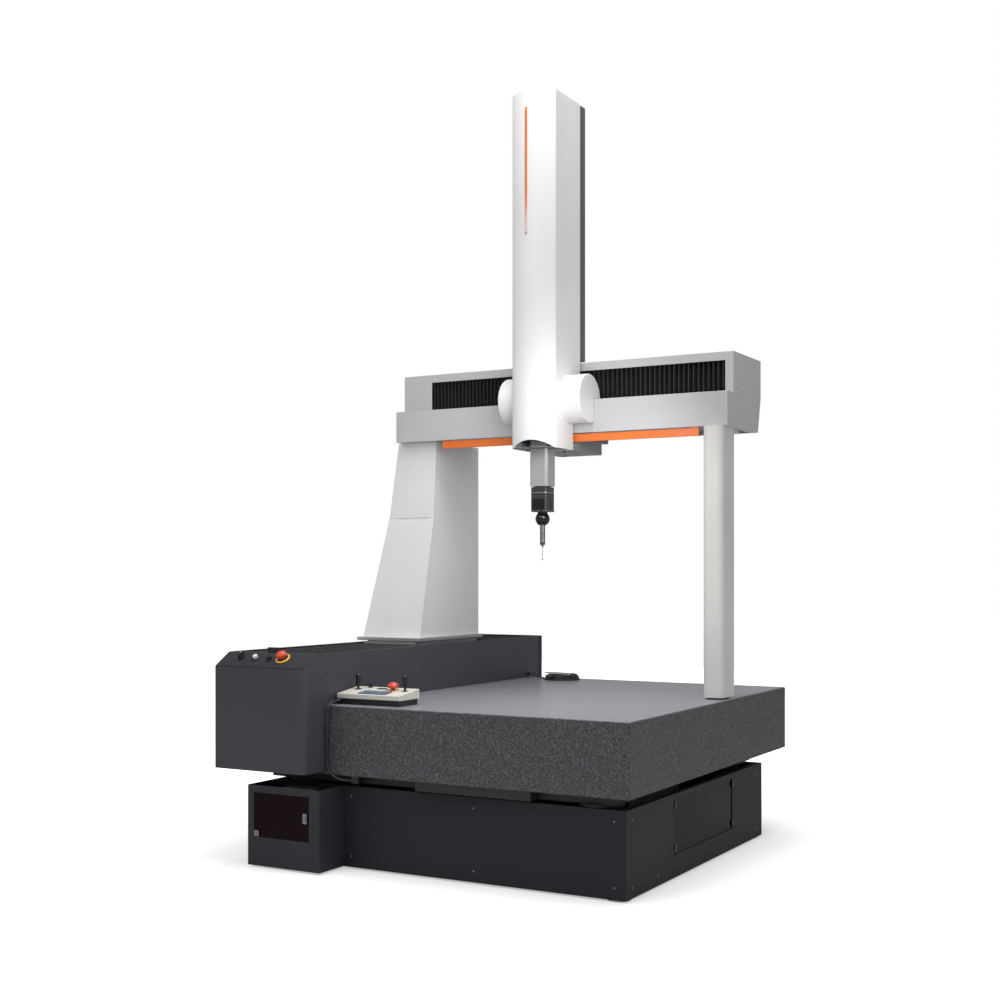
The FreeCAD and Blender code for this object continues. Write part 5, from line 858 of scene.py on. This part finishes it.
# Piece, node whose face they stand on, direction out of that face, body, radius of the head in
# millimetres, finish and slot, and the places along the face's other two axes.
SCREWS = [
    ("right_cap_screws", "beam_end_caps", X, "bridge", 4.2, STEEL, CAP_SCREWS),
    ("left_cap_screws", "beam_end_caps", -X, "bridge", 4.2, STEEL, CAP_SCREWS),
    ("beam_back_screws", "beam_top_cover", Y, "bridge", 4.2, STEEL,
     grid((-0.53, -0.21, 0.11, 0.43, 0.64), (1.635, 1.725))),
    ("housing_inner_screws", "housing_inner_cover", X, "base", 3.6, BLACK,
     [(-0.707, 0.6505), (0.7704, 0.6453), (0.757, 0.556)]),
    ("housing_outer_screws", "housing_outer_covers", -X, "base", 4.2, BLACK,
     grid((-0.66, -0.33, 0.0, 0.33, 0.66), (0.36, 0.675))),
    ("housing_back_screws", "housing_outer_covers", Y, "base", 4.2, BLACK,
     grid((-0.69, -0.40), (0.36, 0.675))),
    ("stand_front_screws", "stand_covers", -Y, "base", 3.6, DULL,
     grid((-0.291, 0.18, 0.665), (0.0416, 0.2395))),
    ("stand_right_screws", "stand_covers", X, "base", 3.6, DULL,
     [(0.4995, 0.0355), (-0.427, 0.038), (-0.62, 0.038), (0.4995, 0.2395), (-0.62, 0.2395)]),
    ("stand_left_screws", "stand_covers", -X, "base", 3.6, DULL,
     grid((-0.62, -0.05, 0.50), (0.038, 0.2395))),
    ("stand_back_screws", "stand_covers", Y, "base", 3.6, DULL,
     grid((-0.57, 0.04, 0.66), (0.038, 0.2395))),
    ("z_cover_back_screws", "z_rear_cover", Y, "carriage", 3.6, STEEL,
     grid((-0.018, 0.136), (1.80, 2.22, 2.64))),
    ("under_box_screws", "under_box", -Z, "carriage", 6.2, BLACK,
     [(0.1058, 0.1155), (0.0174, 0.2971)]),
]


class MACHINE_OT_cover_screws(bpy.types.Operator):
    """Set the screws that hold the covers"""
    bl_idname = "machine.cover_screws"
    bl_label = "Cover screws"

    def execute(self, context):
        for name, node, out, body, radius, look, spots in SCREWS:
            low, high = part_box(node)
            axis = max(range(3), key=lambda index: abs(out[index]))
            level = (high if out[axis] > 0 else low)[axis]
            places = [[*spot[:axis], level, *spot[axis:]] for spot in spots]
            screws(name, places, out, body, radius, *look)
        return {"FINISHED"}


class MACHINE_OT_cable_duct(bpy.types.Operator):
    """Set the dark cable duct behind the Z cover, flush with its sides"""
    bl_idname = "machine.cable_duct"
    bl_label = "Cable duct"

    def execute(self, context):
        cover_low, cover_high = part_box("z_rear_cover")
        low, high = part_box("z_rear_duct")
        mesh = bmesh.new()
        plate(mesh, cover_high.x - cover_low.x - 2 * MM, high.y - low.y + 3 * MM,
              cover_high.z - low.z - 2 * MM, 5 * MM,
              Matrix.Translation(((cover_low.x + cover_high.x) / 2, (low.y + high.y + 3 * MM) / 2, low.z)))
        duct = finish_piece("cable_duct_cover", mesh, "carriage", ["duct_plastic"],
                            bevel=0.0008)
        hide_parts("z_rear_duct")
        return {"FINISHED"}


class MACHINE_OT_base_plate(bpy.types.Operator):
    """Close the Z cover's lower end with a plate that the ram passes through"""
    bl_idname = "machine.base_plate"
    bl_label = "Base plate"

    def execute(self, context):
        low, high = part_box("z_front_cover")
        ram_low, ram_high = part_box("ram")
        wall, play = 1.5 * MM, 1.2 * MM
        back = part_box("under_box")[0].y - play
        hole = (ram_low.x - play, ram_high.x + play)
        stops = (low.x + wall, *hole, high.x - wall)
        columns = [a + (b - a) * step / 8 for a, b in zip(stops, stops[1:]) for step in range(8)]
        rows = []
        for x in [*columns, stops[-1]]:
            depths = (cover_front(x) + wall, ram_low.y - play, ram_high.y + play, back)
            rows.append([(x, y, low.z + 2 * MM) for y in depths])
        mesh = bmesh.new()
        rings = [ring(mesh, row) for row in rows]
        for first, second in zip(rings, rings[1:]):
            for place in range(3):
                middle = (first[place].co.x + second[place].co.x) / 2
                if place != 1 or not hole[0] < middle < hole[1]:
                    mesh.faces.new((first[place], second[place], second[place + 1], first[place + 1]))
        # Its darker grey is painted shade under the Z cover.
        plate_piece = finish_piece("z_cover_base_plate", mesh, "carriage", ["shaded_under_plate"])
        sheet = plate_piece.modifiers.new("sheet", "SOLIDIFY")
        sheet.thickness = wall
        sheet.offset = 0
        screws("base_plate_screw", [(-0.0066, 0.0407, low.z + 2 * MM - wall / 2)], -Z, "carriage",
               6.2, *BLACK)
        return {"FINISHED"}


class MACHINE_OT_leg_fold_highlight(bpy.types.Operator):
    """Draw the folded edges across the front of the left leg's cover as bright lines of painted highlight
    """
    bl_idname = "machine.leg_fold"
    bl_label = "Leg fold"

    def execute(self, context):
        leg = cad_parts["left_leg_cover"]

        def front(x, z):
            """The cover's front face at an X and a Z."""
            near = [leg.ray_cast((x, -1, height), Y) for height in (z, z - 4 * MM)]
            return Vector((x, min(hit[1].y for hit in near), z))

        low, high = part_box("left_leg_cover")
        across = [low.x + step * MM for step in range(int((high.x - low.x) / MM))]
        met = []
        for x in across:
            hit, place = leg.ray_cast((x, -1, FOLD_Z), Y)[:2]
            if hit and place.y < low.y + FOLD_REACH:
                met.append(x)
        middle, half = (met[0] + met[-1]) / 2, (met[-1] - met[0]) / 2
        mesh = bmesh.new()
        straight = [front(middle + half * share, FOLD_Z) for share in (-0.98, 0, 0.98)]
        sweep(mesh, straight, [0.9 * MM] * 3, 10)
        shares = [step / 12 - 1 for step in range(25)]
        bow = [front(middle + 0.92 * half * share, FOLD_Z - FOLD_SAG * (1 - share * share))
               for share in shares]
        sweep(mesh, bow, [0.5 * MM] * len(bow), 10)
        # A white bead along the fold and a thinner one along the bow beneath it: painted highlight.
        finish_piece("leg_cover_fold_highlight", mesh, "bridge", ["painted_fold_highlight"])
        return {"FINISHED"}


FOLD_Z, FOLD_SAG, FOLD_REACH = 1.1938, 0.028, 0.13


class MACHINE_OT_stripe(bpy.types.Operator):
    """Print the stripe on the front of the Z cover"""
    bl_idname = "machine.stripe"
    bl_label = "Stripe"

    def execute(self, context):
        mesh = bmesh.new()
        half = sizes().stripe / 2
        rows = []
        for row in range(25):
            z = STRIPE_Z[0] + (STRIPE_Z[1] - STRIPE_Z[0]) * row / 24
            rows.append(ring(mesh, [Vector((x, cover_front(x) - 0.00035, z)) for x in
                                    (STRIPE_X + half * (share / 3 - 1) for share in range(7))]))
        bridge_rings(mesh, rows, closed=False)
        piece = finish_piece("z_cover_stripe", mesh, "carriage", ["stripe"])
        ink = piece.modifiers.new("ink", "SOLIDIFY")
        ink.thickness = 0.0002
        ink.offset = 0
        return {"FINISHED"}


def cover_front(x):
    """The Y of the Z cover's bowed front at an X."""
    low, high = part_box("z_front_cover")
    half, bow = (high.x - low.x) / 2, Z_CORNER_Y - low.y
    radius = (half * half + bow * bow) / (2 * bow)
    off = x - (low.x + high.x) / 2
    return low.y + radius - math.sqrt(radius * radius - off * off)


STRIPE_X, STRIPE_Z, Z_CORNER_Y = 0.0435, (2.184, 2.638), -0.0338


class MACHINE_OT_window_fittings(bpy.types.Operator):
    """Fit the clips and the latch of the tinted windows, and what stands behind them"""
    bl_idname = "machine.window_fittings"
    bl_label = "Window fittings"

    def execute(self, context):
        low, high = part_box("service_box")
        front = low.y
        mesh = bmesh.new()
        plate(mesh, 0.020, 0.020, 0.0022, 0.003, frame_at((-0.578, front, 0.114), -Y, X))
        pan_screw(mesh, (-0.578, front - 0.0022, 0.114), -Y, 0.0032)
        plate(mesh, 0.017, 0.034, 0.0030, 0.004, frame_at((-0.378, front, 0.178), -Y, X))
        lathe(mesh, [(0, 0.0075), (0.0045, 0.0075), (0.0058, 0.006), (0.0058, 0.003), (0, 0.003)],
              frame_at((-0.378, front, 0.178), -Y), 24)
        finish_piece("box_window_latch", mesh, "base", ["dull_steel"], bevel=0.0004)
        low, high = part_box("stand_covers")
        mesh = bmesh.new()
        for y, z in ((-0.283, 0.236), (-0.283, 0.099), (0.243, 0.236), (0.243, 0.099)):
            plate(mesh, 0.016, 0.022, 0.0022, 0.003, frame_at((high.x, y, z), X, Y))
            pan_screw(mesh, (high.x + 0.0022, y, z), X, 0.0028)
        finish_piece("side_window_clips", mesh, "base", ["black_plastic"])
        low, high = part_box("air_filters")
        mesh = bmesh.new()
        for x in (-0.530, -0.460):
            lathe(mesh, [(0, 0), (0.0085, 0), (0.0085, 0.006), (0.0065, 0.008), (0.0065, 0.016),
                         (0, 0.017)], frame_at((x, -0.722, low.z - 0.017), Z), 20)
        finish_piece("filter_drains", mesh, "base", ["filter_red"])
        mesh = bmesh.new()
        plate(mesh, 0.118, 0.052, 0.003, 0.003, frame_at((-0.452, -0.722, 0.262), Z, X))
        plate(mesh, 0.118, 0.030, 0.003, 0.003, frame_at((-0.452, -0.7465, 0.250), -Y, X))
        finish_piece("filter_bracket", mesh, "base", ["anodised"], bevel=0.0004)
        return {"FINISHED"}


class MACHINE_OT_switches(bpy.types.Operator):
    """Dress the switches on the control panel"""
    bl_idname = "machine.switches"
    bl_label = "Switches"

    def execute(self, context):
        out = Vector((0, -PANEL_RISE, PANEL_RUN)).normalized()
        low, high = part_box("emergency_stop")
        spot = panel_point((low.x + high.x) / 2)
        mesh = bmesh.new()
        lathe(mesh, [(0.0192, 0.0030), (0.0192, 0.0044), (0.0205, 0.0050), (0.0240, 0.0044),
                     (0.0256, 0.0030), (0.0256, 0.0006), (0.0250, 0.0003), (0.0192, 0.0030)],
              frame_at(spot, out), 40)
        finish_piece("stop_ring", mesh, "base", ["stop_yellow"])
        for name, node, body, material in (("start_lens", "start_button", "start", "button_white"),
                                           ("reset_lens", "reset_button", "reset", "gloss_black")):
            low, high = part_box(node)
            mesh = bmesh.new()
            at = panel_point((low.x + high.x) / 2) + out * 0.0110
            lathe(mesh, [(0, 0.0010), (0.0060, 0.0009), (0.0078, 0.0005), (0.0084, 0), (0, 0)],
                  frame_at(at, out), 32)
            finish_piece(name, mesh, body, [material])
        low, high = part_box("selector_knob")
        mesh = bmesh.new()
        at = panel_point((low.x + high.x) / 2) + out * 0.0200
        upward = Matrix.Translation((0, 0.004, 0))
        plate(mesh, 0.0018, 0.0090, 0.0005, 0.0008, frame_at(at, out, X) @ upward, edge=0.0001)
        finish_piece("selector_mark", mesh, "selector", ["button_white"])
        mesh = bmesh.new()
        plate(mesh, 0.052, 0.013, 0.0177, 0.003, frame_at((-0.549, -0.741, 0.7113), Z, X), edge=0.0015)
        finish_piece("cable_clip", mesh, "base", ["black_plastic"])
        return {"FINISHED"}


def panel_point(x, share=0.607):
    """A point on the control panel's slope, in the switches' row."""
    low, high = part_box("control_panel")
    return Vector((x, low.y + PANEL_RUN * share, high.z - PANEL_RISE * (1 - share)))


PANEL_RUN, PANEL_RISE = 0.0701, 0.0436


class MACHINE_OT_pendant_keys(bpy.types.Operator):
    """Set the keypad, its keys, its display, the stop's collar and the screws on the pendant's cover"""
    bl_idname = "machine.pendant_keys"
    bl_label = "Pendant keys"

    def execute(self, context):
        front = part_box("pendant_cover")[0].y
        edge, rise, depth = 0.577, 0.016, 0.120
        out = Vector((0, -rise, depth)).normalized()

        def lid(x, setback, lift=0.0):
            """A point on the sloping lid, back from its front edge."""
            return Vector((x, front + setback, edge + rise * setback / depth)) + out * lift

        mesh = bmesh.new()
        plate(mesh, 0.112, 0.052, 0.0010, 0.005, frame_at(lid(-0.225, 0.036), out, X))
        finish_piece("keypad_membrane", mesh, "base", ["keys"])
        mesh = bmesh.new()
        for row in range(3):
            for column in range(6):
                x, setback = -0.268 + column * 0.0172, 0.021 + row * 0.015
                slot = 1 if (row + column) % 5 == 0 else 0
                plate(mesh, 0.0118, 0.0092, 0.0016, 0.0022,
                      frame_at(lid(x, setback, 0.0008), out, X), 0.0005, slot)
        finish_piece("keypad_keys", mesh, "base", ["key_blue", "key_white"])
        mesh = bmesh.new()
        plate(mesh, 0.040, 0.016, 0.0011, 0.002, frame_at(lid(-0.236, 0.094), out, X))
        finish_piece("pendant_display", mesh, "base", ["gloss_black"])
        mesh = bmesh.new()
        lathe(mesh, [(0.0196, 0), (0.0236, 0), (0.0232, 0.0012), (0.0200, 0.0014), (0.0196, 0)],
              frame_at(lid(-0.186, 0.085), out), 40)
        finish_piece("pendant_stop_collar", mesh, "base", ["stop_yellow"])
        mesh = bmesh.new()
        for x in (-0.341, -0.119):
            for setback in (0.016, 0.106):
                pan_screw(mesh, lid(x, setback), out, 0.0024)
        finish_piece("pendant_screws", mesh, "base", ["ground_steel"])
        return {"FINISHED"}


class MACHINE_OT_probe_details(bpy.types.Operator):
    """Fit the adapter cover, the bright ring, the name window, the side covers and the lower marks of the
    probe head, and the bands round the probe
    """
    bl_idname = "machine.probe_details"
    bl_label = "Probe head details"

    def execute(self, context):
        low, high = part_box("probe_head")
        centre = Vector(((low.x + high.x) / 2, (low.y + high.y) / 2, 0))
        mesh = bmesh.new()
        plate(mesh, 0.0655, 0.0655, 0.0175, 0.0085,
              Matrix.Translation((centre.x, centre.y, high.z - 0.0205)))
        finish_piece("head_adapter_cover", mesh, "ram", ["head_shell"], bevel=0.0004)
        mesh = bmesh.new()
        outline = rounded(0.0666, 0.0666, 0.0092, 6)
        band(mesh, outline, 0.0022, (high.z - 0.0245, high.z - 0.0212), Matrix.Translation(centre))
        finish_piece("head_upper_ring", mesh, "ram", ["ground_steel"])
        mesh = bmesh.new()
        plate(mesh, 0.050, 0.038, 0.0007, 0.004,
              frame_at((centre.x, low.y, low.z + 0.027), -Y, X), 0.0003)
        finish_piece("head_window", mesh, "ram", ["gloss_black"])
        mesh = bmesh.new()
        for side in (-1, 1):
            plate(mesh, 0.014, 0.040, 0.0008, 0.003,
                  frame_at((centre.x + side * 0.033, centre.y, low.z + 0.028), X * side, Y), 0.0003)
        finish_piece("head_side_covers", mesh, "ram", ["black_plastic"])
        mesh = bmesh.new()
        for x in (-0.024, 0.0, 0.024):
            plate(mesh, 0.013, 0.0022, 0.0006, 0.0008,
                  frame_at((centre.x + x, low.y, low.z + 0.0028), -Y, X), 0.0002)
            plate(mesh, 0.013, 0.0022, 0.0006, 0.0008,
                  frame_at((high.x, centre.y + x, low.z + 0.0028), X, Y), 0.0002)
        finish_piece("head_lower_marks", mesh, "ram", ["ground_steel"])
        low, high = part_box("touch_probe")
        centre = Vector(((low.x + high.x) / 2, centre.y, 0))
        mesh = bmesh.new()
        for z, tall in ((low.z + 0.006, 0.004), (low.z + 0.040, 0.002)):
            lathe(mesh, [(0.0092, 0), (0.0099, 0.0003), (0.0099, tall - 0.0003), (0.0092, tall)],
                  frame_at((centre.x, centre.y, z), Z), 32)
        finish_piece("probe_bands", mesh, "probe", ["black_plastic"])
        return {"FINISHED"}


# ---------------------------------------------------------------- stage

class MACHINE_OT_stage(bpy.types.Operator):
    """Set the floor, the soft lights and the camera"""
    bl_idname = "machine.stage"
    bl_label = "Stage"

    def execute(self, context):
        scene = context.scene
        scene.view_settings.view_transform = "Standard"
        self.floor(scene)
        self.world(scene)
        for name, place, aim, size, power in LAMPS:
            data = bpy.data.lights.new(name, "AREA")
            data.shape = "RECTANGLE"
            data.size, data.size_y = size
            data.energy = power
            lamp = bpy.data.objects.new(name, data)
            lamp.matrix_world = frame_at(place, Vector(place) - Vector(aim))
            lamp.visible_camera = False
            scene.collection.objects.link(lamp)
        data = bpy.data.cameras.new("camera")
        data.lens, data.sensor_width, data.shift_y = CAMERA_LENS, 36, CAMERA_SHIFT
        camera = bpy.data.objects.new("camera", data)
        camera.location = CAMERA_PLACE
        camera.rotation_euler = (math.radians(90), 0, math.radians(CAMERA_TURN))
        scene.collection.objects.link(camera)
        scene.camera = camera
        return {"FINISHED"}

    def floor(self, scene):
        mesh = bmesh.new()
        rows = [ring(mesh, [Vector((x, y, 0)) for x in (-9, -3, 3, 9)]) for y in (-9, -3, 3, 9)]
        bridge_rings(mesh, rows, closed=False)
        data = bpy.data.meshes.new("floor")
        mesh.to_mesh(data)
        mesh.free()
        floor = bpy.data.objects.new("floor", data)
        scene.collection.objects.link(floor)
        material = bpy.data.materials.new("studio_floor_white")
        material.use_nodes = True
        tree = material.node_tree
        tree.nodes.clear()
        path = add(tree, "ShaderNodeLightPath")
        seen = add(tree, "ShaderNodeMath", {0: path.outputs["Is Camera Ray"],
                                            1: path.outputs["Is Transmission Ray"]},
                   operation="MAXIMUM")
        matt = add(tree, "ShaderNodeBsdfDiffuse", {"Color": (*to_linear("E6E6E6"), 1)})
        white = add(tree, "ShaderNodeEmission", {"Color": (1, 1, 1, 1)})
        # The floor grows white away from the machine, so that no horizon shows.
        away = add(tree, "ShaderNodeVectorMath",
                   {0: add(tree, "ShaderNodeTexCoord").outputs["Object"]}, operation="LENGTH")
        level = add(tree, "ShaderNodeMapRange", {"Value": away.outputs["Value"], "From Min": FLOOR_FADE[0],
                                                 "From Max": FLOOR_FADE[1], "To Min": FLOOR_GLOW[0],
                                                 "To Max": FLOOR_GLOW[1]})
        glow = add(tree, "ShaderNodeMath", {0: seen.outputs["Value"], 1: level.outputs["Result"]},
                   operation="MULTIPLY")
        tree.links.new(glow.outputs["Value"], white.inputs["Strength"])
        both = add(tree, "ShaderNodeAddShader", {0: matt.outputs["BSDF"], 1: white.outputs["Emission"]})
        add(tree, "ShaderNodeOutputMaterial", {"Surface": both.outputs["Shader"]})
        data.materials.append(material)

    def world(self, scene):
        world = bpy.data.worlds.new("studio")
        world.use_nodes = True
        tree = world.node_tree
        tree.nodes.clear()
        path = add(tree, "ShaderNodeLightPath")
        seen = add(tree, "ShaderNodeMath", {0: path.outputs["Is Camera Ray"],
                                            1: path.outputs["Is Transmission Ray"]},
                   operation="MAXIMUM")
        level = add(tree, "ShaderNodeMapRange", {"Value": seen.outputs["Value"],
                                                 "To Min": AMBIENT, "To Max": 1.0})
        sky = add(tree, "ShaderNodeBackground", {"Color": (1, 1, 1, 1),
                                                 "Strength": level.outputs["Result"]})
        add(tree, "ShaderNodeOutputWorld", {"Surface": sky.outputs["Background"]})
        scene.world = world


CAMERA_PLACE, CAMERA_TURN, CAMERA_LENS, CAMERA_SHIFT = (2.4143, -4.4561, 0.9836), 29.43, 50.42, 0.0714
# How bright the floor looks close by and far off, and the distances in metres.
FLOOR_GLOW, FLOOR_FADE = (0.42, 1.1), (0.9, 2.2)
AMBIENT = 0.36
# Name, place, what it points at, its size, and its power in watts.
LAMPS = [
    ("key", (-1.2, -3.6, 4.6), (0, 0, 1.9), (3.2, 3.2), 68),
    ("right_fill", (4.6, -2.2, 2.6), (0, 0, 0.9), (2.6, 2.6), 20),
    ("over_right", (0.75, -0.8, 4.1), (0, 0, 1.2), (1.6, 1.6), 44),
    ("between_legs", (0.45, -0.5, 1.5), (-0.35, -0.1, 0.8), (0.5, 0.5), 4.6),
    ("top", (0.2, 0.6, 5.2), (0, 0.1, 0.5), (3.0, 3.0), 58),
]


# ---------------------------------------------------------------- panel and main

OPERATORS = (MACHINE_OT_finishes, MACHINE_OT_pendant_cable, MACHINE_OT_sensor_lead,
             MACHINE_OT_x_bellows, MACHINE_OT_y_bellows, MACHINE_OT_cover_screws,
             MACHINE_OT_cable_duct, MACHINE_OT_base_plate, MACHINE_OT_leg_fold_highlight,
             MACHINE_OT_stripe, MACHINE_OT_window_fittings, MACHINE_OT_switches,
             MACHINE_OT_pendant_keys, MACHINE_OT_probe_details, MACHINE_OT_stage)


class MACHINE_PT_pieces(bpy.types.Panel):
    """The machine's pieces and settings"""
    bl_idname = "MACHINE_PT_pieces"
    bl_label = "Measuring machine"
    bl_space_type = "VIEW_3D"
    bl_region_type = "UI"
    bl_category = "Measuring machine"

    def draw(self, context):
        for settings in (context.scene.machine_colours, context.scene.machine_sizes):
            box = self.layout.box()
            for key in settings.__annotations__:
                box.prop(settings, key)
        column = self.layout.column()
        for operator in OPERATORS:
            column.operator(operator.bl_idname)


CLASSES = (MachineColours, MachineSizes, *OPERATORS, MACHINE_PT_pieces)


def register():
    for entry in CLASSES:
        bpy.utils.register_class(entry)
    bpy.types.Scene.machine_colours = PointerProperty(type=MachineColours)
    bpy.types.Scene.machine_sizes = PointerProperty(type=MachineSizes)


def unregister():
    del bpy.types.Scene.machine_sizes
    del bpy.types.Scene.machine_colours
    for entry in reversed(CLASSES):
        bpy.utils.unregister_class(entry)


def main():
    register()
    for operator in OPERATORS:
        group, name = operator.bl_idname.split(".")
        getattr(getattr(bpy.ops, group), name)()


if __name__ == "__main__":
    main()
